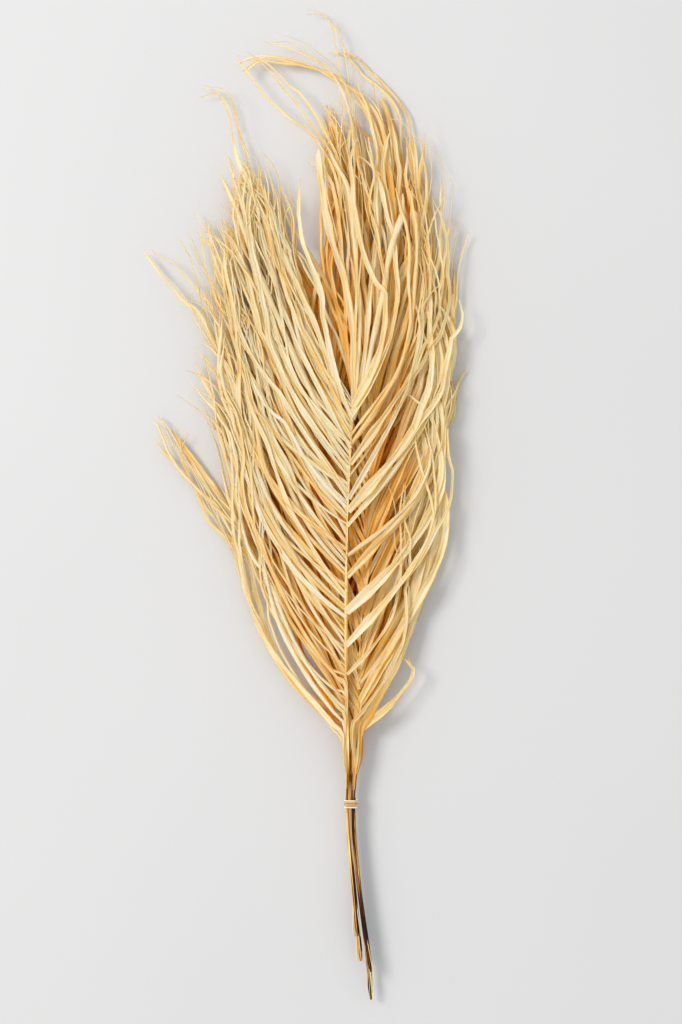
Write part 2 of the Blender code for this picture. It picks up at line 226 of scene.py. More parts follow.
world = bpy.data.worlds.new("studio")
world.use_nodes = True
world.node_tree.nodes["Background"].inputs["Color"].default_value = linear("FAFDFA")
world.node_tree.nodes["Background"].inputs["Strength"].default_value = AMBIENT
bpy.context.scene.world = world
bpy.context.scene.view_settings.view_transform = "Standard"

key = new_object("key_light", bpy.data.lights.new("key_light", "AREA"))
key.data.size = KEY_SIZE
key.data.energy = KEY_POWER
key.data.color = linear("FFFBF6")[:3]
key.location = KEY_AIM + KEY_FROM * KEY_DISTANCE
key.rotation_euler = KEY_FROM.to_track_quat("Z", "Y").to_euler()
print("lamp stands", round(math.degrees(math.asin(KEY_FROM.z))), "degrees over the table")

# %% [markdown]
# The plan of the bunch comes next. It follows the solid model's: where each stalk and midrib runs, where
# the tips of its leaflets lie, and which leaflets have a course of their own. A row of leaflets isn't
# listed one by one. It has a count, a few tips to mix between, and the headings at which its lowest and its
# highest leaflet leave the midrib and arrive at their tips. The counts are higher than the solid model's,
# because here a leaflet costs less, and some broad leaflets and loose threads are added.

# %% Plan of a frond
@dataclass
class Row:
    """One row of leaflets. tips holds (share of the midrib, x, y) of leaflet tips in millimetres. leave and
    arrive are headings in degrees from +Y, positive to the right, for the lowest and the highest leaflet.
    keep says how far they keep those headings, as shares of their reach. looseness says how much its
    leaflets sway and broad how wide they are, and paired ones are torn in two almost from the root."""

    count: int
    tips: tuple
    leave: tuple
    arrive: tuple
    keep: tuple = (0.4, 0.36)
    looseness: float = 1.0
    broad: float = 1.0
    paired: bool = False


@dataclass
class Frond:
    """A frond. layer counts from the lowest, and place is where its stalk passes through the string, in
    stalk spacings. stalk and midrib are centre lines in millimetres. tone runs from cream, 0, to brown, 1,
    and
    the lower fronds are given higher tones: painted shade of the fronds over them.
    long_leaflets have a course of their own, each as (share of the midrib, width, points to its tip),
    resting_leaflets come down to lie on the surface, whole_leaflets stayed broad and untorn, and wisps are
    threads, each as (half of its width, points to its tip)."""

    name: str
    layer: int
    place: tuple
    seed: int
    tone: float
    stalk_tone: float
    broad: float
    stalk: tuple
    midrib: tuple
    left: Row
    right: Row
    long_leaflets: tuple
    resting_leaflets: tuple = ()
    whole_leaflets: tuple = ()
    wisps: tuple = ()


print("a frond has", len(Frond.__dataclass_fields__), "facts")

# %% Frond on top
FROND_1 = Frond(
    name="frond_1",
    layer=3,
    place=(-0.5, 0.5),
    seed=11,
    # The lower a frond lies, the higher its tone: painted shade of the fronds over it.
    tone=0.24,
    stalk_tone=0.5,
    broad=0.86,
    stalk=((53.6, -429.0, 21.0), (50.0, -384.0, 20.0), (45.4, -335.0, 18.6)),
    midrib=((44.0, -232.0), (42.0, -134.0), (43.0, -44.0), (44.5, 16.0), (47.0, 66.0), (50.0, 104.0)),
    left=Row(
        count=78,
        tips=(
            (0.0, -90, 106), (0.25, -82, 176), (0.5, -78, 256),
            (0.7, -70, 326), (0.85, -50, 341), (1.0, -18, 306),
        ),
        leave=(-48.0, -34.0),
        arrive=(-22.0, -14.0),
        keep=(0.46, 0.42),
        looseness=1.25,
    ),
    right=Row(
        count=15,
        tips=(
            (0.0, 116, -14), (0.25, 117, 106), (0.5, 119, 206),
            (0.7, 118, 291), (0.87, 106, 356), (1.0, 34, 368),
        ),
        leave=(46.0, 34.0),
        arrive=(-3.0, -10.0),
        keep=(0.52, 0.46),
        looseness=0.5,
        broad=2.0,
        paired=True,
    ),
    long_leaflets=(
        (0.96, 0.4, ((52, 256), (54, 350), (47, 404), (34, 434), (13, 453), (-10, 467), (-28, 473))),
    ),
    whole_leaflets=(
        (0.97, 1.0, ((50, 156), (42, 216), (31, 256), (22, 306), (18, 340), (17, 357))),
        (0.99, 0.8, ((54, 176), (51, 236), (48, 281), (40, 321), (24, 354))),
        (0.9, 1.0, ((62, 136), (74, 196), (84, 246), (96, 286), (99, 312))),
        (0.94, 0.7, ((60, 146), (66, 216), (72, 276), (70, 326), (74, 356))),
        (0.82, 0.75, ((36, 96), (16, 166), (-10, 226), (-34, 276), (-56, 322), (-67, 344), (-71, 361))),
        (0.7, 1.0, ((26, 76), (-6, 146), (-34, 211), (-54, 266), (-68, 306), (-81, 330))),
        (0.76, 0.9, ((32, 96), (2, 186), (-20, 246), (-40, 291), (-58, 316), (-68, 322))),
    ),
    wisps=(
        (0.6, ((36, 256), (26, 297), (20, 327), (18, 353), (13, 363), (-6, 389))),
        (0.5, ((45, 424), (41, 447), (36, 468), (20, 491))),
        (0.5, ((79, 384), (71, 409), (66, 432))),
        (0.5, ((-51, 343), (-64, 373), (-71, 410), (-99, 418))),
        (0.5, ((130, 240), (140, 302), (139, 330))),
    ),
)
print(FROND_1.name, "has", FROND_1.left.count + FROND_1.right.count, "leaflets in its rows")

# %% Second frond
FROND_2 = Frond(
    name="frond_2",
    layer=2,
    place=(0.5, 0.5),
    seed=12,
    tone=0.42,
    stalk_tone=0.82,
    broad=0.95,
    stalk=((67.0, -465.0, 20.0), (61.2, -425.0, 19.6), (55.6, -384.0, 19.2), (50.6, -335.0, 18.5)),
    midrib=((53.0, -232.0), (55.0, -180.0), (58.0, -110.0), (61.0, -40.0), (64.0, 40.0), (69.0, 108.0)),
    left=Row(
        count=58,
        tips=(
            (0.0, -74, 36), (0.25, -78, 126), (0.5, -82, 216), (0.7, -66, 306),
            (0.84, -32, 306), (0.841, 32, 350), (1.0, 38, 388),
        ),
        leave=(-22.0, -10.0),
        arrive=(-26.0, -10.0),
    ),
    right=Row(
        count=42,
        tips=(
            (0.0, 122, -54), (0.25, 126, 66), (0.5, 127, 166), (0.7, 128, 296),
            (0.87, 105, 380), (0.95, 78, 420), (1.0, 46, 420),
        ),
        leave=(27.0, 4.0),
        arrive=(2.0, -24.0),
        looseness=0.65,
        broad=1.75,
    ),
    long_leaflets=(
        (0.93, 1.3, ((81, 206), (88, 286), (84, 353), (74, 388), (58, 408), (36, 426), (11, 438),
                     (-17, 446), (-40, 449), (-53, 444), (-62, 435))),
        (0.97, 1.0, ((56, 206), (47, 290), (40, 330), (30, 352), (14, 372), (-4, 396), (-22, 420),
                     (-39, 443), (-55, 454))),
        (0.02, 1.1, ((81, -203), (97, -188), (106, -173), (108, -160), (103, -150))),
    ),
    whole_leaflets=(
        (0.85, 0.8, ((84, 136), (104, 216), (118, 266), (114, 316), (106, 366))),
        (0.8, 0.7, ((90, 116), (116, 186), (134, 236), (137, 276), (136, 326))),
        (0.92, 0.8, ((76, 156), (88, 226), (86, 286), (78, 336), (84, 372))),
        (0.6, 0.5, ((100, 76), (124, 146), (134, 206), (141, 246), (146, 290))),
    ),
    wisps=(
        (0.6, ((51, 340), (51, 368), (36, 389), (15, 403))),
        (0.6, ((120, 280), (128, 333), (122, 358), (107, 373), (94, 386), (82, 386))),
        (0.5, ((-60, 150), (-89, 216), (-104, 244), (-116, 274))),
        (0.5, ((-20, 280), (-26, 330), (-42, 356))),
    ),
)
print(FROND_2.name, "has", FROND_2.left.count + FROND_2.right.count, "leaflets in its rows")

# %% Third frond
FROND_3 = Frond(
    name="frond_3",
    layer=1,
    place=(-0.5, -0.5),
    seed=13,
    tone=0.58,
    stalk_tone=0.5,
    broad=1.1,
    stalk=((57.0, -455.5, 13.0), (53.4, -420.0, 13.1), (50.1, -384.0, 13.3), (45.4, -335.0, 13.5)),
    midrib=((46.5, -232.0), (43.0, -134.0), (39.0, -44.0), (35.0, 16.0), (30.0, 66.0), (26.0, 112.0)),
    left=Row(
        count=56,
        tips=(
            (0.0, -96, 76), (0.2, -90, 131), (0.45, -88, 236), (0.65, -78, 312),
            (0.82, -66, 352), (0.9, -30, 306), (0.901, 32, 356), (1.0, 34, 372),
        ),
        leave=(-50.0, -14.0),
        arrive=(-28.0, -8.0),
    ),
    right=Row(
        count=50,
        tips=(
            (0.0, 104, -14), (0.25, 112, 76), (0.5, 108, 186),
            (0.7, 98, 276), (0.87, 82, 382), (1.0, 34, 346),
        ),
        leave=(20.0, 3.0),
        arrive=(4.0, -14.0),
        looseness=0.7,
    ),
    long_leaflets=(
        (0.98, 0.3, ((42, 206), (51, 330), (48, 400), (43, 440), (38, 466), (29, 484), (17, 492),
                      (5, 492))),
        (0.28, 0.85, ((0, -20), (-54, 112), (-82, 146), (-110, 193), (-139, 231), (-162, 257))),
        (0.5, 0.85, ((-40, 106), (-79, 176), (-99, 231), (-116, 274))),
        (0.92, 0.5, ((-4, 186), (-42, 290), (-60, 356), (-72, 404), (-80, 415), (-98, 419))),
    ),
    wisps=(
        (0.5, ((143, 220), (148, 297), (149, 322), (140, 340), (121, 394))),
        (0.5, ((-70, 60), (-90, 105), (-99, 135))),
        (0.5, ((-75, 225), (-95, 265), (-111, 299))),
        (0.5, ((0, 270), (-8, 300), (-14, 316))),
    ),
)
print(FROND_3.name, "has", FROND_3.left.count + FROND_3.right.count, "leaflets in its rows")

# %% Frond underneath
FROND_4 = Frond(
    name="frond_4",
    layer=0,
    place=(0.5, -0.5),
    seed=14,
    tone=0.74,
    stalk_tone=1.0,
    broad=1.6,
    stalk=(
        (67.0, -494.0, 12.4), (64.4, -455.0, 12.5), (60.6, -425.0, 12.7),
        (55.4, -384.0, 13.0), (50.6, -335.0, 13.5),
    ),
    midrib=((51.0, -232.0), (50.0, -134.0), (52.0, -44.0), (56.0, 16.0), (60.0, 66.0), (64.0, 122.0)),
    left=Row(
        count=56,
        tips=(
            (0.0, -138, 70), (0.04, -130, 84), (0.041, -62, -24), (0.25, -74, 56),
            (0.5, -80, 146), (0.7, -76, 246),
            (0.8, -44, 316), (0.86, -28, 296), (0.861, 34, 372), (1.0, 44, 400),
        ),
        leave=(-26.0, -10.0),
        arrive=(-28.0, -8.0),
    ),
    right=Row(
        count=48,
        tips=(
            (0.0, 122, -64), (0.2, 126, 66), (0.45, 128, 206), (0.65, 130, 276),
            (0.85, 91, 392), (0.94, 58, 436), (1.0, 26, 360),
        ),
        leave=(30.0, 5.0),
        arrive=(2.0, -26.0),
        looseness=0.65,
        broad=1.15,
    ),
    long_leaflets=(
        (0.9, 0.85, ((104, 256), (109, 340), (107, 373), (101, 396), (84, 417), (66, 434), (49, 451),
                     (32, 458))),
        (0.42, 0.5, ((128, 40), (137, 106), (142, 186), (147, 254), (156, 284))),
        (0.01, 1.1, ((-8, -184), (-42, -126), (-69, -49), (-109, 29), (-140, 82), (-148, 92))),
    ),
    resting_leaflets=(
        (0.3, 1.2, ((-30, -44), (-62, 26), (-78, 66), (-88, 96))),
        (0.3, 1.2, ((104, -50), (124, 0), (130, 40), (133, 76))),
        (0.8, 1.2, ((64, 166), (66, 236), (68, 286), (69, 322))),
    ),
    wisps=(
        (0.5, ((-60, 20), (-90, 80), (-111, 120))),
        (0.5, ((-70, 190), (-90, 250), (-100, 291))),
        (0.5, ((146, 200), (150, 254), (158, 284))),
    ),
)
FRONDS = (FROND_1, FROND_2, FROND_3, FROND_4)
print(FROND_4.name, "has", FROND_4.left.count + FROND_4.right.count, "leaflets in its rows")

# %% [markdown]
# The fronds lie one over another, so each has a layer of its own. The layers are close where the stalks meet,
# spread apart in the middle and draw together again at the tips and the edges. This is the solid model's
# rule, with the same heights, and the print compares it with the top of the solid frond.

# %% Heights of the layers
STALK_RADIUS = 2.3 * MM
MIDRIB_END_RADIUS = 0.8 * MM
CROWN_Y = -232.0 * MM
MIDRIB_X = 46.0 * MM
CROWN_HEIGHTS = (10.0 * MM, 15.6 * MM, 21.2 * MM, 26.8 * MM)
MIDDLE_HEIGHTS = (2.4 * MM, 12.0 * MM, 21.5 * MM, 31.0 * MM)
TIP_HEIGHTS = (5.6 * MM, 11.1 * MM, 16.6 * MM, 22.1 * MM)
EDGE_HEIGHTS = (7.6 * MM, 12.9 * MM, 18.2 * MM, 23.5 * MM)
CROWN_TO_MIDDLE = (CROWN_Y, -110.0 * MM)
MIDDLE_TO_TIP = (60.0 * MM, 280.0 * MM)
LIES_FROM_Y = -150.0 * MM
EDGE_LEFT = 140.0 * MM
EDGE_RIGHT = 95.0 * MM


def smoothstep(low, high, value):
    share = min(1.0, max(0.0, (value - low) / (high - low)))
    return share * share * (3.0 - 2.0 * share)


def mix(a, b, share):
    return a + (b - a) * share


def layer_height(layer, x, y):
    """The height of a layer over a point of the table."""
    middle = mix(CROWN_HEIGHTS[layer], MIDDLE_HEIGHTS[layer], smoothstep(*CROWN_TO_MIDDLE, y))
    middle = mix(middle, TIP_HEIGHTS[layer], smoothstep(*MIDDLE_TO_TIP, y))
    aside = x - MIDRIB_X
    outwards = aside / EDGE_RIGHT if aside > 0 else -aside / EDGE_LEFT
    return mix(middle, EDGE_HEIGHTS[layer], smoothstep(0.0, 1.0, outwards))


top_layer = layer_height(3, MIDRIB_X, 0.0)
solid_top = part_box("frond_1")[1].z
print("top layer at", round(top_layer / MM, 1), "mm, solid frond up to", round(solid_top / MM, 1))

# %% [markdown]
# A midrib is given by a few points. A Catmull-Rom curve passes through all of them without a corner, and it
# needs no handles, so it suits courses that are listed point by point. The midrib thins from the stalk's
# radius to less than half of it.

# %% Midribs
def along(points, share):
    """The point at a share of the way through points, on the smooth curve that passes through all of them."""
    last = len(points) - 1
    at = min(last - 1e-9, max(0.0, share * last))
    i = int(at)
    t = at - i
    a, b = points[i], points[i + 1]
    before = points[i - 1] if i > 0 else 2.0 * a - b
    after = points[i + 2] if i + 2 <= last else 2.0 * b - a
    square = 2.0 * before - 5.0 * a + 4.0 * b - after
    cube = 3.0 * a - before - 3.0 * b + after
    return 0.5 * (2.0 * a + (b - before) * t + square * t**2 + cube * t**3)


def midrib_radius(share):
    return mix(STALK_RADIUS, MIDRIB_END_RADIUS, share**0.8)


def midrib_point(frond, share):
    plan = along([Vector(p) * MM for p in frond.midrib], share)
    z = layer_height(frond.layer, plan.x, plan.y)
    if frond.layer == 0:
        z = mix(z, midrib_radius(share), smoothstep(CROWN_Y, LIES_FROM_Y, plan.y))
    return Vector((plan.x, plan.y, z))


for frond in FRONDS:
    print(frond.name, "midrib ends at, in mm:", [round(c / MM) for c in midrib_point(frond, 1.0)])

# %% [markdown]
# Each stem runs from its cut end through the string and up the frond as the midrib. It uses the solid model's
# own points, so it lies where the solid stalk lies. Its cut end tapers, because it was cut at a slant.

# %% Course of a stem
TIE_CENTRE = Vector((46.6, -297.0, 16.0)) * MM
STALK_LEAN = Vector((0.2, -8.0, 0.0)) * MM
STALK_SPACING = 4.9 * MM
MIDRIB_STEPS = 28
COURSE_STEP = 11.0 * MM
CUT_SHARE = 0.35


def sampled(points, step):
    """Points of the smooth curve through points, about one step apart."""
    length = sum((b - a).length for a, b in zip(points, points[1:]))
    count = max(6, round(length / step))
    return [along(points, i / count) for i in range(count + 1)]


def stem_course(frond):
    """Points of the frond's stem from its cut end to the end of the midrib, and its radius at each."""
    column, level = frond.place
    in_tie = TIE_CENTRE + Vector((column, 0.0, level)) * STALK_SPACING
    below = [Vector(p) * MM for p in frond.stalk] + [in_tie + STALK_LEAN, in_tie - STALK_LEAN]
    above = [midrib_point(frond, i / MIDRIB_STEPS) for i in range(MIDRIB_STEPS + 1)]
    stalk = sampled(below + [above[0]], COURSE_STEP)[:-1]
    radii = [STALK_RADIUS] * len(stalk) + [midrib_radius(i / MIDRIB_STEPS) for i in range(MIDRIB_STEPS + 1)]
    radii[0] *= CUT_SHARE
    return stalk + above, radii


print("the top stem has", len(stem_course(FROND_1)[0]), "points")

# %% [markdown]
# A leaflet's course starts as a plain curve from its root to its tip. Drying bends it. It keeps close to the
# midrib for the first centimetre, then sways in slow waves that grow towards the tip, kinks here and there
# and ends in a curl. All of these are turns of its heading, so the course is walked step by step with the
# heading turned a little at each: that keeps its length and never makes a corner that a ribbon couldn't have.

# %% Bends of a dried leaflet
HUG_LENGTH = 11.0 * MM
HUG = 0.65
WAVES = (0.7, 3.2)
WAVE_COUNT = 3
SWAY = math.radians(3.0)
SWAY_GROWS = (0.3, 1.6)
KINK_COUNT = 3
KINK = math.radians(11.0)
KINKS_FROM = (0.3, 0.95)
KINK_FADE = 0.06
CURL = math.radians(14.0)
CURLS_FROM = 0.8


def bent(plan, looseness, hug, draw):
    """The plan of a course with the bends of drying. hug is how much it keeps to the midrib at first."""
    waves = [(draw.uniform(*WAVES), draw.uniform(0.0, math.tau), draw.gauss(0.0, SWAY))
             for _ in range(WAVE_COUNT)]
    kinks = [(draw.uniform(*KINKS_FROM), draw.gauss(0.0, KINK)) for _ in range(KINK_COUNT)]
    curl = draw.gauss(0.0, CURL)
    points = [plan[0].copy()]
    run = 0.0
    for i, (a, b) in enumerate(zip(plan, plan[1:])):
        t = (i + 0.5) / (len(plan) - 1)
        sway = sum(size * math.sin(math.tau * often * t + phase) for often, phase, size in waves)
        kinked = sum(size * math.exp((at - t) / KINK_FADE) for at, size in kinks if t > at)
        turn = looseness * (sway * mix(*SWAY_GROWS, t) + kinked + curl * smoothstep(CURLS_FROM, 1.0, t))
        step = b - a
        run += step.length
        turn += hug * (1.0 - smoothstep(0.0, HUG_LENGTH, run)) * math.atan2(step.x, step.y)
        step.rotate(Matrix.Rotation(turn, 2))
        points.append(points[-1] + step)
    return points


straight = [Vector((0.0, i * COURSE_STEP)) for i in range(25)]
moved = (bent(straight, 1.0, HUG, random.Random(1))[-1] - straight[-1]).length
print("the bends move the tip of a 264 mm leaflet by", round(moved / MM), "mm")

# %% [markdown]
# Up and down, a leaflet follows its frond's layer. Neighbours lie at slightly different heights, so that they
# pass over each other, and each rises and sinks a little along its length. A few of the lowest frond's
# leaflets come down to lie on the table, and carry the bunch.

# %% Height of a leaflet
STAGGER = (-1.65 * MM, 0.0, 1.65 * MM)
STAGGER_FULL_AT = 0.22
COMES_DOWN = (0.2, 0.75)
RISE = 1.5 * MM
RISES = (0.8, 2.5)
LOWEST = 0.8 * MM


def lifted(frond, root, plan, lift, rests, draw):
    """The course in space: plan with a height for each of its points."""
    often, phase = draw.uniform(*RISES), draw.uniform(0.0, math.tau)
    points = []
    for i, point in enumerate(plan):
        t = i / (len(plan) - 1)
        z = layer_height(frond.layer, point.x, point.y) + lift
        z = mix(root.z, z, smoothstep(0.0, STAGGER_FULL_AT, t))
        z += RISE * t * math.sin(math.tau * often * t + phase)
        if rests:
            z = mix(z, 0.0, smoothstep(*COMES_DOWN, t))
        points.append(Vector((point.x, point.y, max(z, LOWEST))))
    return points


print("neighbours lie", STAGGER[2] / MM, "mm higher or lower")

# %% [markdown]
# Now the strands themselves. A strand is anything ribbon-like: a leaflet, a thread that has split from it, or
# a stray fibre. It has its points, its flat half-width at each, a tone and a turn about its own axis, which
# shows it with its fold up or down. Its width follows one outline: narrow at the root, soon at its full
# width, and thin only towards the tip.

# %% Strands
@dataclass
class Strand:
    """A ribbon: its points, the half of its flat width at each, how brown it is, and its turn in radians."""

    points: list
    halves: list
    tone: float
    turn: float


LEAFLET_HALF = 2.6 * MM
OUTLINE = ((0.0, 0.6), (0.03, 0.75), (0.1, 0.95), (0.3, 1.0), (0.72, 0.9), (0.92, 0.68), (1.0, 0.15))


def outline_at(t, outline=OUTLINE):
    for (low, a), (high, b) in zip(outline, outline[1:]):
        if t <= high:
            return mix(a, b, smoothstep(low, high, t))
    return outline[-1][1]


def halves_of(count, half):
    return [half * outline_at(i / (count - 1)) for i in range(count)]


print("a leaflet is", 2 * LEAFLET_HALF / MM, "mm wide when flat")

# %% [markdown]
# The rows of leaflets follow from the plan: a cubic curve from root to tip, bent and lifted as above. Dried
# leaflets cling together in tufts of a few neighbours, so a row draws a tuft's tip first, and its leaflets
# end near it. The lowest leaflets begin on the stalk as thin strips that sheathe it for a few centimetres,
# and stand off from it as a funnel at the crown. Every draw comes from the frond's own seed, so the bunch
# grows the same way each time.

# %% Leaflets in rows
TIP_SCATTER = 3.5 * MM
TUFT_SIZES = (3, 6)
TUFT_SCATTER = 18.0 * MM
TUFT_REACH = 45.0 * MM
CLING = 0.85
LEAVE_SCATTER = 8.0
ARRIVE_SCATTER = 6.0
SHARE_SCATTER = 0.25
SIDES_APART = 0.25
SHEATHING_SHARE = 0.12
SHEATHES = (22.0 * MM, 60.0 * MM)
SHEATH_ASIDE = (0.2, 1.1)
SHEATH_END = 0.15
FUNNEL = 6.0 * MM
FUNNEL_OPENS = (-268.0 * MM, -236.0 * MM)
FUNNEL_ENDS = (-232.0 * MM, -190.0 * MM)
TONE_SCATTER = 0.22
WIDTH_SCATTER = (0.45, 1.7)
TURN_SCATTER = 0.35
SEAT_ASIDE = 0.1
SEAT_UP = 0.95


def heading(degrees):
    return Vector((math.sin(math.radians(degrees)), math.cos(math.radians(degrees))))


def tip_of(row, share):
    """The tip of the leaflet that leaves the midrib at this share of its length."""
    for (low, *start), (high, *end) in zip(row.tips, row.tips[1:]):
        if share <= high:
            return mix(Vector(start), Vector(end), (share - low) / (high - low)) * MM
    return Vector(row.tips[-1][1:]) * MM


def row_plan(row, share, root, tuft, draw):
    """Points from a leaflet's root to its tip, as a plain curve. tuft is where its tuft ends."""
    tip = tip_of(row, share)
    if (tuft - tip).length < TUFT_REACH:
        tip = mix(tip, tuft, CLING)
    tip += Vector((draw.uniform(-1, 1), draw.uniform(-2, 2))) * TIP_SCATTER
    leave = heading(mix(*row.leave, share) + draw.gauss(0, 1) * LEAVE_SCATTER)
    arrive = heading(mix(*row.arrive, share) + draw.uniform(-2, 2) * ARRIVE_SCATTER)
    reach = (tip - root).length
    handles = (root, root + leave * reach * row.keep[0], tip - arrive * reach * row.keep[1], tip)
    steps = max(6, round(reach / COURSE_STEP))
    plan = []
    for i in range(steps + 1):
        t = i / steps
        weights = ((1 - t) ** 3, 3 * t * (1 - t) ** 2, 3 * t * t * (1 - t), t**3)
        plan.append(sum((w * h for w, h in zip(weights, handles)), Vector((0.0, 0.0))))
    return plan


def sheathing(frond, side, draw):
    """Points along the stalk, up to the crown, where a low leaflet's base lies against it."""
    begins = CROWN_Y - draw.uniform(*SHEATHES)
    aside = side * draw.uniform(*SHEATH_ASIDE) * STALK_RADIUS
    return [p + Vector((aside, 0.0, STALK_RADIUS * SEAT_UP)) for p in stem_course(frond)[0]
            if begins < p.y < CROWN_Y - COURSE_STEP / 2]


def ribbon(points, half, tone, draw):
    """A strand along the points, with its fold up or down by chance."""
    turn = draw.choice((0.0, math.pi)) + draw.gauss(0.0, TURN_SCATTER)
    tone += draw.uniform(-1, 1) * TONE_SCATTER
    return Strand(points, halves_of(len(points), half), tone, turn)


def row_strands(frond, row, side, draw):
    """The leaflets of one side, -1 for the left one. They are seated on the midrib's shoulder."""
    strands = []
    tuft_ends = 0
    for i in range(row.count):
        place = i + 0.5 + SIDES_APART * side + draw.gauss(0, SHARE_SCATTER)
        share = min(1.0, max(0.0, place / row.count))
        if i == tuft_ends:
            tuft_ends += draw.randint(*TUFT_SIZES)
            middle = min(1.0, (i + tuft_ends) / 2 / row.count)
            tuft = tip_of(row, middle) + Vector((draw.uniform(-1, 1), draw.uniform(-1, 1))) * TUFT_SCATTER
        shoulder = Vector((side * SEAT_ASIDE, 0.0, SEAT_UP)) * midrib_radius(share)
        root = midrib_point(frond, share) + shoulder
        plan = bent(row_plan(row, share, root.xy, tuft, draw), row.looseness, HUG, draw)
        points = lifted(frond, root, plan, STAGGER[i % len(STAGGER)], False, draw)
        base = sheathing(frond, side, draw) if share < SHEATHING_SHARE else []
        half = LEAFLET_HALF * frond.broad * row.broad * draw.uniform(*WIDTH_SCATTER)
        strands.append(ribbon(base + points, half, frond.tone, draw))
        if base:
            spread = side * FUNNEL * (1.0 - share / SHEATHING_SHARE)
            for k, p in enumerate(strands[-1].points):
                p.x += spread * (smoothstep(*FUNNEL_OPENS, p.y) - smoothstep(*FUNNEL_ENDS, p.y))
                strands[-1].halves[k] *= mix(SHEATH_END, 1.0, smoothstep(0.0, len(base), k))
    return strands


sample = row_strands(FROND_1, FROND_1.left, -1, random.Random(FROND_1.seed))
print(len(sample), "leaflets in the top frond's left row")

# %% [markdown]
# Some leaflets have a course of their own: the ones that arch over the top, the strays at the left, the loop
# beside the stalk and those that carry the bunch. A few more stayed broad and untorn. All their points are
# given one by one. Loose wisps start somewhere inside the plume and are threads from the beginning.

# %% Leaflets with a course of their own
LONG_LOOSENESS = 0.25
LONG_BROAD = 1.7
LONG_TONE = 0.34
WISP_LOOSENESS = 0.35


def own_course_strands(frond, draw):
    """The leaflets with a course of their own: those that tear, the whole ones, and the wisps."""
    torn, whole, wisps = [], [], []
    kinds = (
        (frond.long_leaflets, torn, False),
        (frond.resting_leaflets, torn, True),
        (frond.whole_leaflets, whole, False),
    )
    for leaflets, strands, rests in kinds:
        for i, (share, width, points) in enumerate(leaflets):
            root = midrib_point(frond, share)
            plan = sampled([root.xy] + [Vector(p) * MM for p in points], COURSE_STEP)
            plan = bent(plan, LONG_LOOSENESS, 0.0, draw)
            points = lifted(frond, root, plan, STAGGER[i % len(STAGGER)], rests, draw)
            strand = ribbon(points, LEAFLET_HALF * LONG_BROAD * width, LONG_TONE, draw)
            strand.tone = frond.tone if strands is whole else LONG_TONE
            strands.append(strand)
    for half, points in frond.wisps:
        plan = bent(sampled([Vector(p) * MM for p in points], COURSE_STEP), WISP_LOOSENESS, 0.0, draw)
        start = Vector((plan[0].x, plan[0].y, layer_height(frond.layer, plan[0].x, plan[0].y)))
        points = lifted(frond, start, plan, 0.0, False, draw)
        wisps.append(ribbon(points, half * MM, LONG_TONE, draw))
    return torn, whole, wisps


own = sum(len(f.long_leaflets) + len(f.resting_leaflets) + len(f.whole_leaflets) for f in FRONDS)
print(own, "leaflets with their own course")

# %% [markdown]
# A dried leaflet tears along its fibres. A split starts somewhere past its first fifth, and from there a
# narrower thread leaves it at a small angle, while the leaflet itself goes on narrower than before. The
# paired ones and those with a course of their own tear almost from the root. Finer fibres come off the same
# way, closer to the tips, and curl.

# %% Splits and fibres
SPLIT_CHANCES = (0.42, 0.2)
SPLITS_OVER = 1.7 * MM
SPLITS_FROM = (0.22, 0.65)
PAIRS_FROM = (0.04, 0.1)
LONG_TEARS = 2
SPLIT_WIDTH = (0.35, 0.55)
SPLIT_DRIFT = math.radians(3.0)
SPLIT_LOOSENESS = 1.3
SPLIT_RISE = 1.5 * MM
SPLIT_LEAST = 0.15 * MM
SPLIT_TONE_SCATTER = 0.05
SPLIT_TURN_SCATTER = 0.5
FIBRE_CHANCE = 0.025
FIBRES_FROM = (0.45, 0.9)
FIBRE_HALF = (0.28 * MM, 0.5 * MM)
FIBRE_LENGTH = (25.0 * MM, 75.0 * MM)
FIBRE_ANGLE = math.radians(14.0)
FIBRE_BEND = math.radians(35.0)
FIBRE_WANDER = 0.05
FIBRE_STEP = 0.6 * COURSE_STEP
FIBRE_RISE = (-0.4 * MM, 0.5 * MM)
FIBRE_END = 0.35
FIBRE_TONE_SCATTER = 0.1
STRAY = 4.0 * MM


def split_from(strand, draw, start_range=SPLITS_FROM):
    """A thread that leaves the strand part of the way along. The strand is narrower from there on."""
    start = round(draw.uniform(*start_range) * (len(strand.points) - 1))
    share = draw.uniform(*SPLIT_WIDTH)
    rest = strand.points[start:]
    inwards = 1 if rest[0].x > MIDRIB_X else -1
    drift = draw.choice((-1, 1, 1)) * inwards * abs(draw.gauss(0.6, 0.6)) * SPLIT_DRIFT
    plan = [rest[0].xy]
    for i, (a, b) in enumerate(zip(rest, rest[1:])):
        step = (b - a).xy
        step.rotate(Matrix.Rotation(drift * smoothstep(0.0, 4.0, i), 2))
        plan.append(plan[-1] + step)
    plan = bent(plan, SPLIT_LOOSENESS, 0.0, draw)
    rise = draw.uniform(-1, 1) * SPLIT_RISE
    last = len(rest) - 1
    heights = [max(p.z + rise * i / last, LOWEST) for i, p in enumerate(rest)]
    points = [Vector((p.x, p.y, z)) for p, z in zip(plan, heights)]
    halves = [strand.halves[start + i] * share * mix(0.5, 1.0, smoothstep(0.0, 2.0, i)) + SPLIT_LEAST
              for i in range(last + 1)]
    for i in range(start, len(strand.halves)):
        strand.halves[i] *= mix(1.0, 1.0 - share, smoothstep(0.0, 3.0, i - start))
    tone = strand.tone + draw.gauss(0.0, SPLIT_TONE_SCATTER)
    return Strand(points, halves, tone, strand.turn + draw.gauss(0.0, SPLIT_TURN_SCATTER))


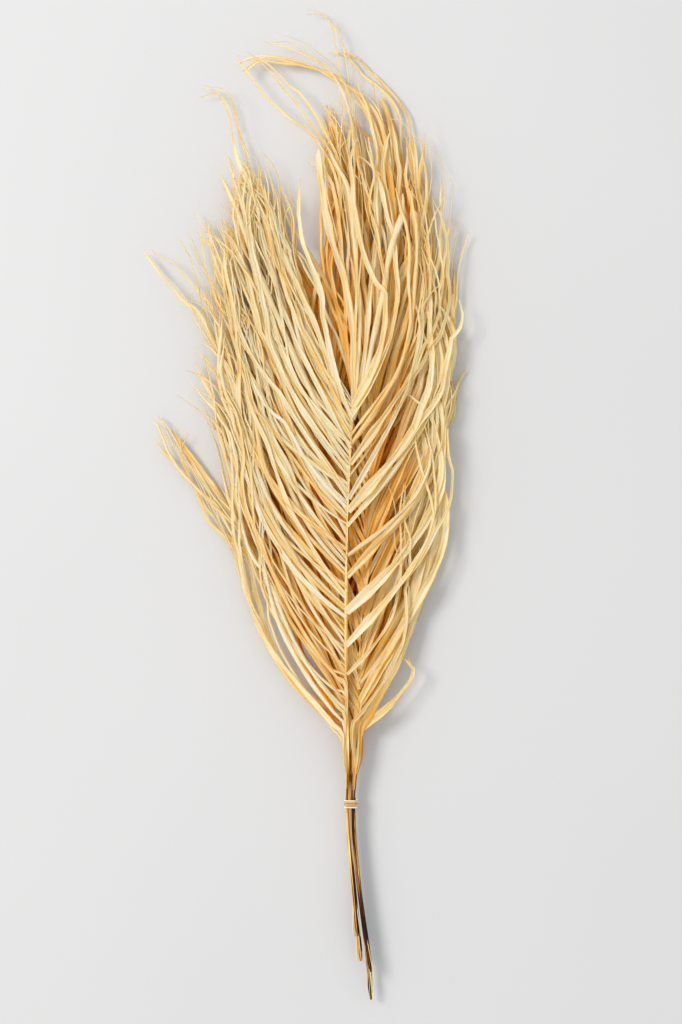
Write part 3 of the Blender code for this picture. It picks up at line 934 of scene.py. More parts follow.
def fibre_from(strand, draw):
    """A thin fibre that leaves the strand near its tip and curls."""
    start = int(draw.uniform(*FIBRES_FROM) * (len(strand.points) - 1))
    a, b = strand.points[start], strand.points[min(start + 1, len(strand.points) - 1)]
    step = (b - a).xy if b != a else Vector((0.0, COURSE_STEP))
    step = step.normalized() * FIBRE_STEP
    step.rotate(Matrix.Rotation(draw.gauss(0.0, FIBRE_ANGLE), 2))
    count = max(5, round(draw.uniform(*FIBRE_LENGTH) / step.length))
    bend = draw.gauss(0.0, FIBRE_BEND) / count
    rise = draw.uniform(*FIBRE_RISE)
    points = [a.copy()]
    for i in range(count):
        step.rotate(Matrix.Rotation(bend + draw.gauss(0.0, FIBRE_WANDER), 2))
        z = max(points[-1].z + rise, LOWEST)
        points.append(Vector((points[-1].x + step.x, points[-1].y + step.y, z)))
    half = draw.uniform(*FIBRE_HALF)
    halves = [half * mix(1.0, FIBRE_END, i / count) for i in range(count + 1)]
    return Strand(points, halves, strand.tone + draw.gauss(0.0, FIBRE_TONE_SCATTER), strand.turn)


def unbroken(strand):
    """The strand up to where it would stray from the bunch: past there it has broken off."""
    for i, p in enumerate(strand.points):
        inside = all(CAD_LOW[k] - STRAY < p[k] < CAD_HIGH[k] + STRAY for k in (0, 1))
        if not inside and i > 2:
            return Strand(strand.points[:i], strand.halves[:i], strand.tone, strand.turn)
    return strand


def strands_of(frond):
    """Every ribbon, thread and fibre of a frond."""
    draw = random.Random(frond.seed)
    leaflets, threads = [], []
    for row, side in ((frond.left, -1), (frond.right, 1)):
        strands = row_strands(frond, row, side, draw)
        leaflets += strands
        if row.paired:
            threads += [split_from(s, draw, PAIRS_FROM) for s in strands]
    long_leaflets, whole_leaflets, wisps = own_course_strands(frond, draw)
    for _ in range(LONG_TEARS):
        threads += [split_from(s, draw, PAIRS_FROM) for s in long_leaflets]
    leaflets += long_leaflets
    for chance in SPLIT_CHANCES:
        torn = [s for s in leaflets if draw.random() < chance and max(s.halves) > SPLITS_OVER]
        threads += [split_from(s, draw) for s in torn]
    fibres = [fibre_from(s, draw) for s in leaflets + threads if draw.random() < FIBRE_CHANCE]
    ribbons = leaflets + threads + whole_leaflets
    return [unbroken(s) for s in ribbons], [unbroken(s) for s in fibres + wisps]


for frond in FRONDS:
    ribbons, fibres = strands_of(frond)
    print(frond.name, len(ribbons), "ribbons and threads,", len(fibres), "fibres")

# %% [markdown]
# A strand's course becomes a line of edges in a mesh. What the node tree and the material need to know is
# stored on its points: the half-width, the tone, the turn, a number that differs from strand to strand, and
# how far along the strand the point is, as a share and in metres. The tone depends on where in the bunch the
# point lies. The sun has bleached the tips and the edges of the bunch. What lies low inside it, under the
# other layers, is painted a deeper amber, which is painted shade.

# %% Lines for the node trees
DEEP_SHADE_TONE = 1.0
DEEP_SHADE_BY = 0.6
RISES_OUT = (12.0 * MM, 28.0 * MM)
SPREADS_OUT = (0.2, 0.75)
CLOSES = (-225.0 * MM, -150.0 * MM)
OPENS = (60.0 * MM, 260.0 * MM)
BLEACHED_TONE = 0.22
BLEACHED_BY = 0.75
BLEACHES = (0.5, 0.95)
WIDENS = (-240.0 * MM, 0.0)
TIPS_BLEACHED = 0.85
TIPS_BLEACH = (0.6, 1.0)


def weathered_and_shaded(tone, point, share):
    """The tone at a point. What lies low inside the bunch, under the other layers, is made deeper amber:
    painted shade. The sun has bleached tips and what lies at the bunch's edges. The edges draw apart from the
    crown up."""
    aside = point.x - MIDRIB_X
    outwards = aside / EDGE_RIGHT if aside > 0 else -aside / EDGE_LEFT
    outwards /= math.sqrt(min(1.0, max(0.05, (point.y - WIDENS[0]) / (WIDENS[1] - WIDENS[0]))))
    # Painted shade: what lies low inside the bunch, under other layers, is made deeper amber.
    inside = smoothstep(*CLOSES, point.y) - smoothstep(*OPENS, point.y)
    inside *= (1.0 - smoothstep(*RISES_OUT, point.z)) * (1.0 - smoothstep(*SPREADS_OUT, outwards))
    tone = mix(tone, DEEP_SHADE_TONE, DEEP_SHADE_BY * inside)
    amount = max(smoothstep(*BLEACHES, outwards), TIPS_BLEACHED * smoothstep(*TIPS_BLEACH, share))
    return mix(tone, BLEACHED_TONE, BLEACHED_BY * amount)


def line_mesh(name, strands):
    """One mesh with each strand as a chain of edges, and what is known of it on its points."""
    points, edges = [], []
    facts = {"half": [], "tone": [], "turn": [], "strand": [], "along": [], "run": []}
    for number, strand in enumerate(strands):
        first = len(points)
        points += strand.points
        edges += [(i, i + 1) for i in range(first, len(points) - 1)]
        count = len(strand.points)
        run = 0.0
        for i, point in enumerate(strand.points):
            run += (point - strand.points[i - 1]).length if i else 0.0
            facts["run"].append(run)
            facts["along"].append(i / (count - 1))
        facts["half"] += strand.halves
        facts["tone"] += [weathered_and_shaded(strand.tone, p, i / (count - 1)) for i, p in enumerate(strand.points)]
        facts["turn"] += [strand.turn] * count
        facts["strand"] += [float(number)] * count
    mesh = bpy.data.meshes.new(name)
    mesh.from_pydata(points, edges, [])
    for key, values in facts.items():
        mesh.attributes.new(key, "FLOAT", "POINT").data.foreach_set("value", values)
    return mesh


print("facts on each point: half, tone, turn, strand, along, run")

# %% [markdown]
# Geometry Nodes turn the lines into leaflets. The real blade has a fold along its middle and rolls up at
# its edges as it dries, more in some places than in others. So the tree doesn't sweep a fixed section. It
# sweeps a ring of points that only know their place across the blade, and then puts each of them on an arc:
# it starts at the fold's angle in the middle and turns further the nearer the edge it is. The more the
# blade rolls, the narrower it looks, as the real one does. Noise along the strand varies the roll and the
# width, twists the blade and crinkles its course.
#
# The sizes are inputs of the tree, so that leaflets and fibres can share it.

# %% Tree of rolled leaflets, its inputs
COLUMNS = 5
LEAFLET_SIZES = {
    "Step": 7.0 * MM,
    "Thickness": 0.35 * MM,
    "Fold": 0.38,
    "Least Roll": 0.1,
    "Most Roll": 0.85,
    "Roll Length": 55.0 * MM,
    "Twist": 1.0,
    "Twist Length": 110.0 * MM,
    "Crinkle": 4.5 * MM,
    "Crinkle Length": 28.0 * MM,
    "Swelling": 0.8,
    "Swelling Length": 30.0 * MM,
}
FIBRE_SIZES = {**LEAFLET_SIZES, "Step": 5.0 * MM, "Thickness": 0.3 * MM, "Crinkle": 1.0 * MM,
               "Most Roll": 0.6, "Crinkle Length": 15.0 * MM}


def new_tree(name, sizes, numbers, vectors=()):
    """A geometry node tree with a geometry in and out, a number for each size, and a material. It comes with
    its inputs, and with the numbers and vectors that it reads from the points, by their names."""
    tree = bpy.data.node_groups.new(name, "GeometryNodeTree")
    tree.interface.new_socket("Geometry", in_out="INPUT", socket_type="NodeSocketGeometry")
    for key in sizes:
        tree.interface.new_socket(key, in_out="INPUT", socket_type="NodeSocketFloat")
    tree.interface.new_socket("Material", in_out="INPUT", socket_type="NodeSocketMaterial")
    tree.interface.new_socket("Geometry", in_out="OUTPUT", socket_type="NodeSocketGeometry")
    kinds = {**dict.fromkeys(numbers, "FLOAT"), **dict.fromkeys(vectors, "FLOAT_VECTOR")}
    read = {key: add_node(tree, "GeometryNodeInputNamedAttribute", {"data_type": kind}, {"Name": key})
            for key, kind in kinds.items()}
    return tree, tree.nodes.new("NodeGroupInput").outputs, read


def finish_tree(tree, geometry, material):
    """The last steps of each tree: instances made real, and the material set."""
    real = add_node(tree, "GeometryNodeRealizeInstances", {}, {"Geometry": geometry})
    painted = add_node(tree, "GeometryNodeSetMaterial", {}, {"Geometry": real, "Material": material})
    add_node(tree, "NodeGroupOutput", {}, {0: painted})


print("inputs of the leaflet tree:", ", ".join(LEAFLET_SIZES))

# %% Tree of rolled leaflets, its noise
LANE = 7.31
CRINKLE_ROW = 0.0
TWIST_ROW = 2.7
ROLL_ROW = 5.1
SWELLING_ROW = 8.3
NOISE_RANGE = (0.25, 0.75)
TWISTS_FROM = (0.05, 0.4)
TWISTS_TO = 2.0


def noise_along(tree, read, length, row):
    """Noise that changes along a strand over this length, and from strand to strand. row keeps two apart."""
    place = add_node(tree, "ShaderNodeMath", {"operation": "DIVIDE"}, {0: read["run"], 1: length})
    lane = add_node(tree, "ShaderNodeMath", {"operation": "MULTIPLY_ADD"},
                    {0: read["strand"], 1: LANE, 2: row})
    where = add_node(tree, "ShaderNodeCombineXYZ", {}, {"X": place, "Y": lane})
    return add_node(tree, "ShaderNodeTexNoise", {"noise_dimensions": "2D"},
                    {"Vector": where, "Scale": 1.0, "Detail": 1.0})


def even_curves(tree, given):
    """The lines as smooth curves whose points are one step apart."""
    curves = add_node(tree, "GeometryNodeMeshToCurve", {}, {"Mesh": given["Geometry"]})
    smooth = add_node(tree, "GeometryNodeCurveSplineType", {"spline_type": "CATMULL_ROM"}, {"Curve": curves})
    return add_node(tree, "GeometryNodeResampleCurve", {"mode": "LENGTH"},
                    {"Curve": smooth, "Length": given["Step"]})


def crinkled_curves(tree, given, read):
    """The strands as even curves, crinkled, and turned about their own axis."""
    wander = noise_along(tree, read, given["Crinkle Length"], CRINKLE_ROW)
    centred = add_node(tree, "ShaderNodeVectorMath", {"operation": "SUBTRACT"},
                       {0: wander.outputs["Color"], 1: (0.5, 0.5, 0.5)})
    size = add_node(tree, "ShaderNodeMath", {"operation": "MULTIPLY"},
                    {0: read["along"], 1: given["Crinkle"]})
    offset = add_node(tree, "ShaderNodeVectorMath", {"operation": "SCALE"}, {0: centred, "Scale": size})
    moved = add_node(tree, "GeometryNodeSetPosition", {},
                     {"Geometry": even_curves(tree, given), "Offset": offset})
    upright = add_node(tree, "GeometryNodeSetCurveNormal", {"mode": "Z_UP"}, {"Curve": moved})
    twist = add_node(tree, "ShaderNodeMath", {"operation": "SUBTRACT"},
                     {0: noise_along(tree, read, given["Twist Length"], TWIST_ROW), 1: 0.5})
    twist = add_node(tree, "ShaderNodeMath", {"operation": "MULTIPLY"}, {0: twist, 1: given["Twist"]})
    late = add_node(tree, "ShaderNodeMapRange", {"interpolation_type": "SMOOTHSTEP"},
                    {"Value": read["along"], "From Min": TWISTS_FROM[0], "From Max": TWISTS_FROM[1],
                     "To Max": TWISTS_TO})
    tilt = add_node(tree, "ShaderNodeMath", {"operation": "MULTIPLY_ADD"},
                    {0: twist, 1: late, 2: read["turn"]})
    return add_node(tree, "GeometryNodeSetCurveTilt", {}, {"Curve": upright, "Tilt": tilt})


print("four rows of noise, at", CRINKLE_ROW, TWIST_ROW, ROLL_ROW, SWELLING_ROW)

# %% Tree of rolled leaflets, its section
def blade_ring(tree):
    """A ring of points: one half of them across the upper face of a blade, the others back underneath."""
    ring = add_node(tree, "GeometryNodeMeshCircle", {}, {"Vertices": 2 * COLUMNS})
    index = add_node(tree, "GeometryNodeInputIndex", {}, {})
    under = add_node(tree, "ShaderNodeMath", {"operation": "GREATER_THAN"}, {0: index, 1: COLUMNS - 0.5})
    back = add_node(tree, "ShaderNodeMath", {"operation": "SUBTRACT"}, {0: 2 * COLUMNS - 1, 1: index})
    column = add_node(tree, "ShaderNodeMath", {"operation": "MINIMUM"}, {0: index, 1: back})
    across = add_node(tree, "ShaderNodeMath", {"operation": "MULTIPLY_ADD"},
                      {0: column, 1: 2.0 / (COLUMNS - 1), 2: -1.0})
    for key, value in (("across", across), ("under", under)):
        ring = add_node(tree, "GeometryNodeStoreNamedAttribute", {"data_type": "FLOAT"},
                        {"Geometry": ring, "Name": key, "Value": value})
    return add_node(tree, "GeometryNodeMeshToCurve", {}, {"Mesh": ring})


def section_point(tree, given, read):
    """Where a point of the ring goes, as the distances aside from and above the strand's own line."""
    across = read["across"]
    side = add_node(tree, "ShaderNodeMath", {"operation": "SIGN"}, {0: across})
    outwards = add_node(tree, "ShaderNodeMath", {"operation": "ABSOLUTE"}, {0: across})
    roll = add_node(tree, "ShaderNodeMapRange", {},
                    {"Value": noise_along(tree, read, given["Roll Length"], ROLL_ROW),
                     "From Min": NOISE_RANGE[0], "From Max": NOISE_RANGE[1],
                     "To Min": given["Least Roll"], "To Max": given["Most Roll"]})
    angle = add_node(tree, "ShaderNodeMath", {"operation": "MULTIPLY_ADD"},
                     {0: outwards, 1: roll, 2: given["Fold"]})
    faces = []
    for turned in (angle, given["Fold"]):
        sine = add_node(tree, "ShaderNodeMath", {"operation": "SINE"}, {0: turned})
        sine = add_node(tree, "ShaderNodeMath", {"operation": "MULTIPLY"}, {0: sine, 1: side})
        cosine = add_node(tree, "ShaderNodeMath", {"operation": "COSINE"}, {0: turned})
        faces.append(add_node(tree, "ShaderNodeCombineXYZ", {}, {"X": sine, "Y": cosine}))
    arc = add_node(tree, "ShaderNodeVectorMath", {"operation": "SUBTRACT"}, {0: faces[0], 1: faces[1]})
    swelling = add_node(tree, "ShaderNodeMath", {"operation": "SUBTRACT"},
                        {0: noise_along(tree, read, given["Swelling Length"], SWELLING_ROW), 1: 0.5})
    swelling = add_node(tree, "ShaderNodeMath", {"operation": "MULTIPLY_ADD"},
                        {0: swelling, 1: given["Swelling"], 2: 1.0})
    half = add_node(tree, "ShaderNodeMath", {"operation": "MULTIPLY"}, {0: read["half"], 1: swelling})
    radius = add_node(tree, "ShaderNodeMath", {"operation": "DIVIDE"}, {0: half, 1: roll})
    arc = add_node(tree, "ShaderNodeVectorMath", {"operation": "SCALE"}, {0: arc, "Scale": radius})
    depth = add_node(tree, "ShaderNodeMath", {"operation": "MULTIPLY"},
                     {0: read["under"], 1: given["Thickness"]})
    inwards = add_node(tree, "ShaderNodeVectorMath", {"operation": "SCALE"}, {0: faces[0], "Scale": depth})
    point = add_node(tree, "ShaderNodeVectorMath", {"operation": "SUBTRACT"}, {0: arc, 1: inwards})
    return add_node(tree, "ShaderNodeSeparateXYZ", {}, {"Vector": point})


print("a blade has", COLUMNS, "columns of points on each face")

# %% [markdown]
# Put together, the tree sweeps the ring, sets its points, and presses flat what would reach into the table.

# %% Tree of rolled leaflets, put together
TABLE_GAP = 0.05 * MM


def leaflet_tree():
    """Lines in, rolled and folded leaflets out."""
    numbers = ("half", "turn", "strand", "along", "run", "across", "under")
    tree, given, read = new_tree("rolled leaflets", LEAFLET_SIZES, numbers, ("centre", "aside", "upwards"))
    curves = crinkled_curves(tree, given, read)
    normal = add_node(tree, "GeometryNodeInputNormal", {}, {})
    tangent = add_node(tree, "GeometryNodeInputTangent", {}, {})
    upwards = add_node(tree, "ShaderNodeVectorMath", {"operation": "CROSS_PRODUCT"}, {0: normal, 1: tangent})
    position = add_node(tree, "GeometryNodeInputPosition", {}, {})
    for key, value in (("centre", position), ("aside", normal), ("upwards", upwards)):
        curves = add_node(tree, "GeometryNodeStoreNamedAttribute", {"data_type": "FLOAT_VECTOR"},
                          {"Geometry": curves, "Name": key, "Value": value})
    swept = add_node(tree, "GeometryNodeCurveToMesh", {},
                     {"Curve": curves, "Profile Curve": blade_ring(tree), "Fill Caps": True,
                      "Scale": read["half"]})
    section = section_point(tree, given, read)
    place = add_node(tree, "ShaderNodeVectorMath", {"operation": "MULTIPLY_ADD"},
                     {0: read["aside"], 1: section.outputs["X"],
                      2: read["centre"]})
    place = add_node(tree, "ShaderNodeVectorMath", {"operation": "MULTIPLY_ADD"},
                     {0: read["upwards"], 1: section.outputs["Y"], 2: place})
    upper = add_node(tree, "ShaderNodeMath", {"operation": "SUBTRACT"}, {0: 1.0, 1: read["under"]})
    lowest = add_node(tree, "ShaderNodeMath", {"operation": "MULTIPLY_ADD"},
                      {0: upper, 1: given["Thickness"], 2: TABLE_GAP})
    lowest = add_node(tree, "ShaderNodeCombineXYZ", {}, {"X": -1.0, "Y": -1.0, "Z": lowest})
    place = add_node(tree, "ShaderNodeVectorMath", {"operation": "MAXIMUM"}, {0: place, 1: lowest})
    blades = add_node(tree, "GeometryNodeSetPosition", {}, {"Geometry": swept, "Position": place})
    finish_tree(tree, blades, given["Material"])
    return tree


rolled_leaflets = leaflet_tree()
print("the tree has", len(rolled_leaflets.nodes), "nodes")

# %% [markdown]
# The result of a tree is made a plain mesh, and the helper object that carried the tree is removed. The
# material is the tree's last input.

# %% From lines to a mesh
def grown(name, lines, tree, sizes, material):
    """A plain object with the mesh that the tree makes from the lines."""
    carrier = new_object(name + "_lines", lines)
    modifier = carrier.modifiers.new(tree.name, "NODES")
    modifier.node_group = tree
    values = {**sizes, "Material": material}
    for item in tree.interface.items_tree:
        if item.name in values:
            modifier[item.identifier] = values[item.name]
    graph = bpy.context.evaluated_depsgraph_get()
    mesh = bpy.data.meshes.new_from_object(carrier.evaluated_get(graph))
    mesh.name = name
    bpy.data.objects.remove(carrier)
    return new_object(name, mesh)


def triangle_count(obj):
    return sum(len(face.vertices) - 2 for face in obj.data.polygons)


print("ready to grow")

# %% [markdown]
# A sun-dried palm leaflet is thin, dull and fibrous. Its fibres run lengthwise and show as fine streaks, some
# paler and some browner, and the whole blade has cloudy patches where it dried slower. Its edges are made
# browner than its fold: partly the real browner margin, partly painted shade, because the rolled edges turn
# down away from the light. Light comes through it, which makes the lower layers glow ochre. The fibres are
# about a third of a millimetre apart, too fine to show from here, so they are drawn at almost one.

# %% Dried leaflet
FIBRE_SPACING = 0.8 * MM
FIBRE_REACH = 30.0 * MM
PATCH = 45.0 * MM
STREAKS_BY = 1.2
PATCHES_BY = 0.4
EDGE_BROWN_AND_SHADE = 0.2
EDGE_POWER = 3.0
LEAFLET_OFFSET = -0.82
STREAK_RELIEF = (0.8, 0.35 * MM)
LEAFLET_ROUGHNESS = 0.6
LEAFLET_GLOSS = 0.15
GLOW_GAMMA = 1.2
SEE_THROUGH = 0.58
LEAFLET_COLOURS = (
    (0.0, "FDFAEE"), (0.25, "FDF4D6"), (0.5, "FCE5A2"), (0.75, "FBD05C"), (1.0, "F8A814"),
)


def leaflet_material():
    """Areca leaflets dried in the sun. Drying leaves them matt, streaked along the fibres and a little
    translucent."""
    material, tree, read = new_material("sun_dried_areca_leaflet", ("tone", "across", "run", "strand"))
    column = add_node(tree, "ShaderNodeMath", {"operation": "MULTIPLY"},
                      {0: read["across"], 1: LEAFLET_HALF / FIBRE_SPACING})
    reach = add_node(tree, "ShaderNodeMath", {"operation": "DIVIDE"}, {0: read["run"], 1: FIBRE_REACH})
    where = add_node(tree, "ShaderNodeCombineXYZ", {}, {"X": column, "Y": reach, "Z": read["strand"]})
    streaks = add_node(tree, "ShaderNodeTexNoise", {}, {"Vector": where, "Scale": 1.0, "Detail": 2.0})
    far = add_node(tree, "ShaderNodeMath", {"operation": "DIVIDE"}, {0: read["run"], 1: PATCH})
    patch_place = add_node(tree, "ShaderNodeCombineXYZ", {}, {"X": far, "Y": read["strand"]})
    patches = add_node(tree, "ShaderNodeTexNoise", {}, {"Vector": patch_place, "Scale": 1.0, "Detail": 1.0})
    # Edges browner: the real browner margin, plus painted shade where the rolled edges turn down from the
    # light.
    outwards = add_node(tree, "ShaderNodeMath", {"operation": "ABSOLUTE"}, {0: read["across"]})
    edge_brown_and_shade = add_node(tree, "ShaderNodeMath", {"operation": "POWER"}, {0: outwards, 1: EDGE_POWER})
    terms = ((streaks, STREAKS_BY), (patches, PATCHES_BY), (edge_brown_and_shade, EDGE_BROWN_AND_SHADE))
    tone = varied(tree, read["tone"], terms, LEAFLET_OFFSET)
    colour, shader = set_surface(tree, tone, LEAFLET_COLOURS, streaks, STREAK_RELIEF,
                                 LEAFLET_ROUGHNESS, LEAFLET_GLOSS)
    deeper = add_node(tree, "ShaderNodeGamma", {}, {"Color": colour, "Gamma": GLOW_GAMMA})
    glow = add_node(tree, "ShaderNodeBsdfTranslucent", {}, {"Color": deeper})
    both = add_node(tree, "ShaderNodeMixShader", {}, {"Fac": SEE_THROUGH, 1: shader.outputs["BSDF"], 2: glow})
    tree.links.new(both.outputs["Shader"], tree.nodes["Material Output"].inputs["Surface"])
    return material


leaflet_finish = leaflet_material()
print("a leaflet is mostly", LEAFLET_COLOURS[1][1], "to", LEAFLET_COLOURS[2][1])

# %% [markdown]
# The stalk and the midrib are one stem, round and solid, with coarse fibres. It is ochre where it was thick
# and sound, and dark red brown where sap dried in it. A second, simpler tree sweeps a circle along each stem
# and raises the fibres as ridges. The stems' tone changes along their length, so it is stored on their points
# as the leaflets' is.

# %% Tree of stems
STEM_SIZES = {"Step": 4.0 * MM, "Ridge": 0.6 * MM, "Ridge Length": 90.0 * MM}
STEM_SIDES = 16
RIDGES_ROUND = 1.8


def stem_tree():
    """Lines in, fibrous round stems out."""
    tree, given, read = new_tree("fibrous stems", STEM_SIZES, ("half", "run", "round_x", "round_y"))
    curves = even_curves(tree, given)
    upright = add_node(tree, "GeometryNodeSetCurveNormal", {"mode": "Z_UP"}, {"Curve": curves})
    ring = add_node(tree, "GeometryNodeCurvePrimitiveCircle", {}, {"Resolution": STEM_SIDES, "Radius": 1.0})
    round_the_ring = add_node(tree, "GeometryNodeSplineParameter", {}, {})
    angle = add_node(tree, "ShaderNodeMath", {"operation": "MULTIPLY"}, {0: round_the_ring, 1: math.tau})
    for name, operation in (("round_x", "COSINE"), ("round_y", "SINE")):
        turned = add_node(tree, "ShaderNodeMath", {"operation": operation}, {0: angle})
        ring = add_node(tree, "GeometryNodeStoreNamedAttribute", {"data_type": "FLOAT"},
                        {"Geometry": ring, "Name": name, "Value": turned})
    swept = add_node(tree, "GeometryNodeCurveToMesh", {},
                     {"Curve": upright, "Profile Curve": ring, "Fill Caps": True,
                      "Scale": read["half"]})
    reach = add_node(tree, "ShaderNodeMath", {"operation": "DIVIDE"},
                     {0: read["run"], 1: given["Ridge Length"]})
    where = add_node(tree, "ShaderNodeCombineXYZ", {},
                     {"X": read["round_x"], "Y": read["round_y"], "Z": reach})
    ridges = add_node(tree, "ShaderNodeTexNoise", {}, {"Vector": where, "Scale": RIDGES_ROUND, "Detail": 1.0})
    height = add_node(tree, "ShaderNodeMath", {"operation": "SUBTRACT"}, {0: ridges, 1: 0.5})
    height = add_node(tree, "ShaderNodeMath", {"operation": "MULTIPLY"}, {0: height, 1: given["Ridge"]})
    normal = add_node(tree, "GeometryNodeInputNormal", {}, {})
    offset = add_node(tree, "ShaderNodeVectorMath", {"operation": "SCALE"}, {0: normal, "Scale": height})
    position = add_node(tree, "GeometryNodeInputPosition", {}, {})
    place = add_node(tree, "ShaderNodeVectorMath", {"operation": "ADD"}, {0: position, 1: offset})
    place = add_node(tree, "ShaderNodeVectorMath", {"operation": "MAXIMUM"},
                     {0: place, 1: (-1.0, -1.0, TABLE_GAP)})
    ridged = add_node(tree, "GeometryNodeSetPosition", {}, {"Geometry": swept, "Position": place})
    finish_tree(tree, ridged, given["Material"])
    return tree


fibrous_stems = stem_tree()
print("the tree has", len(fibrous_stems.nodes), "nodes")

# %% Dried stalk
STALK_FIBRE_REACH = 90.0 * MM
FIBRES_ROUND = 1.2
PATCHES_ROUND = 0.8
FIBRES_BY = 3.0
STALK_PATCHES_BY = 0.3
SIDE_LIGHT_AND_SHADE = 0.18
STALK_OFFSET = -1.65
STALK_RELIEF = (0.6, 0.3 * MM)
STALK_ROUGHNESS = 0.5
STALK_GLOSS = 0.12
STALK_COLOURS = ((0.0, "F8E4B4"), (0.3, "E2B866"), (0.55, "B67C2A"), (0.8, "62300A"), (1.0, "240C02"))


def stalk_material():
    """An areca stalk dried with its sheath cut away: hard, slightly glossy, with long coarse fibres."""
    material, tree, read = new_material("dried_areca_stalk", ("tone", "run", "round_x", "round_y"))
    reach = add_node(tree, "ShaderNodeMath", {"operation": "DIVIDE"}, {0: read["run"], 1: STALK_FIBRE_REACH})
    where = add_node(tree, "ShaderNodeCombineXYZ", {},
                     {"X": read["round_x"], "Y": read["round_y"], "Z": reach})
    fibres = add_node(tree, "ShaderNodeTexNoise", {}, {"Vector": where, "Scale": FIBRES_ROUND, "Detail": 3.0})
    patches = add_node(tree, "ShaderNodeTexNoise", {},
                       {"Vector": where, "Scale": PATCHES_ROUND, "Detail": 1.0})
    # round_x makes one side of each stem paler and the other browner: painted light and shade, as from the
    # lamp at the left.
    terms = ((fibres, FIBRES_BY), (patches, STALK_PATCHES_BY), (read["round_x"], SIDE_LIGHT_AND_SHADE))
    tone = varied(tree, read["tone"], terms, STALK_OFFSET)
    set_surface(tree, tone, STALK_COLOURS, fibres, STALK_RELIEF, STALK_ROUGHNESS, STALK_GLOSS)
    return material


stalk_finish = stalk_material()
print("stalks go from", STALK_COLOURS[1][1], "to", STALK_COLOURS[-1][1])

# %% [markdown]
# A stem's tone is the stalk's own, browner towards the cut end. From the first leaflets on it fades to that
# of the leaflets, because the midrib was in the sun with them.

# %% Lines of the stems
PALES_ALONG = (-262.0 * MM, -190.0 * MM)
BROWNS_ALONG = (-340.0 * MM, -430.0 * MM)
CUT_BROWNER = 0.42
MIDRIB_PALER = 0.05


def stem_lines(frond):
    points, radii = stem_course(frond)
    lines = line_mesh(frond.name + "_stem", [Strand(points, radii, 0.0, 0.0)])
    tones = []
    for p in points:
        stalk_tone = frond.stalk_tone + CUT_BROWNER * smoothstep(*BROWNS_ALONG, p.y)
        tones.append(mix(stalk_tone, frond.tone + MIDRIB_PALER, smoothstep(*PALES_ALONG, p.y)))
    lines.attributes["tone"].data.foreach_set("value", tones)
    return lines


print("a stem is", 2 * STALK_RADIUS / MM, "mm thick")

# %% [markdown]
# Where the sheath was cut away, slivers of it stay along the stalk, some pale and some brown. They are thin
# strands that lie against it, and those that reach the cut stand a little off it there.

# %% Slivers of sheath
SLIVERS = 9
SLIVER_HALF = (0.5 * MM, 1.1 * MM)
SLIVER_TONES = (0.05, 0.95)
SLIVER_OUTER_TONE = 0.0
SLIVER_ANGLES = (-0.2, 1.2)
SLIVER_END = 0.3
SLIVER_FREE = 3.0 * MM
SLIVER_SIZES = {**FIBRE_SIZES, "Twist": 0.2, "Crinkle": 0.5 * MM, "Swelling": 0.4}


def slivers_of(frond, draw):
    """Thin strips along the stalk, from the leaflets down to near the cut end."""
    stalk = [p for p in stem_course(frond)[0] if p.y < CROWN_Y]
    slivers = []
    outer_side = 0.0 if frond.place[0] > 0 else math.pi
    for i in range(SLIVERS):
        angle = draw.uniform(*SLIVER_ANGLES) * math.pi if i else outer_side
        out = Vector((math.cos(angle), 0.0, math.sin(angle)))
        first = draw.choice((0, 0, draw.randrange(0, len(stalk) // 2)))
        last = draw.randrange(len(stalk) * 2 // 3, len(stalk))
        free = draw.uniform(0.0, SLIVER_FREE) if first == 0 else 0.0
        points = [p + out * (STALK_RADIUS + free * (1.0 - smoothstep(0.0, 3.0, k)))
                  for k, p in enumerate(stalk[first:last])]
        half = draw.uniform(*SLIVER_HALF)
        halves = [half * mix(SLIVER_END, 1.0, math.sin(math.pi * k / (len(points) - 1)))
                  for k in range(len(points))]
        tone = draw.uniform(*SLIVER_TONES) if i else SLIVER_OUTER_TONE
        slivers.append(Strand(points, halves, tone, math.pi / 2 - angle))
    return slivers


print(SLIVERS, "slivers on each stalk")

# %% [markdown]
# With everything defined, the four fronds are grown: leaflets and threads, fibres, slivers and the stem. They
# grew as one piece, so they are joined into one object, which takes the place of the solid frond.

# %% Grow the fronds
SLIVER_SEED = 100
WAYS = (
    ("leaflets", rolled_leaflets, LEAFLET_SIZES, leaflet_finish),
    ("fibres", rolled_leaflets, FIBRE_SIZES, leaflet_finish),
    ("slivers", rolled_leaflets, SLIVER_SIZES, stalk_finish),
    ("stem", fibrous_stems, STEM_SIZES, stalk_finish),
)


def joined(name, parts):
    """One object from several. They keep their materials."""
    with bpy.context.temp_override(active_object=parts[0], selected_editable_objects=parts):
        bpy.ops.object.join()
    parts[0].name = name
    return parts[0]


for frond in FRONDS:
    ribbons, fibres = strands_of(frond)
    slivers = slivers_of(frond, random.Random(frond.seed + SLIVER_SEED))
    lines = [line_mesh("leaflets", ribbons), line_mesh("fibres", fibres), line_mesh("slivers", slivers)]
    lines.append(stem_lines(frond))
    parts = [grown(frond.name + "_" + name, mesh, tree, sizes, finish)
             for mesh, (name, tree, sizes, finish) in zip(lines, WAYS)]
    piece = joined("dried_" + frond.name, parts)
    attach(piece, "root")
    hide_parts(frond.name)
    print(piece.name, triangle_count(piece), "triangles")

# %% [markdown]
# The string is a thin cotton twine, laid up from three plies. Its path is the solid model's: five turns side
# by side round the four stalks. The tree sweeps a three-lobed section and turns it steadily along the path,
# and that alone makes the lay of the plies.

# %% Tree of twisted string
STRING_RADIUS = 0.7 * MM
STRING_PITCH = 1.65 * MM
STRING_TURNS = 5
STEPS_PER_TURN = 24
CLEARANCE = 0.6 * MM
STRING_SIZES = {"Step": 0.45 * MM, "Lay Length": 4.5 * MM, "Groove": 0.3}
STRING_SIDES = 18
PLIES = 3


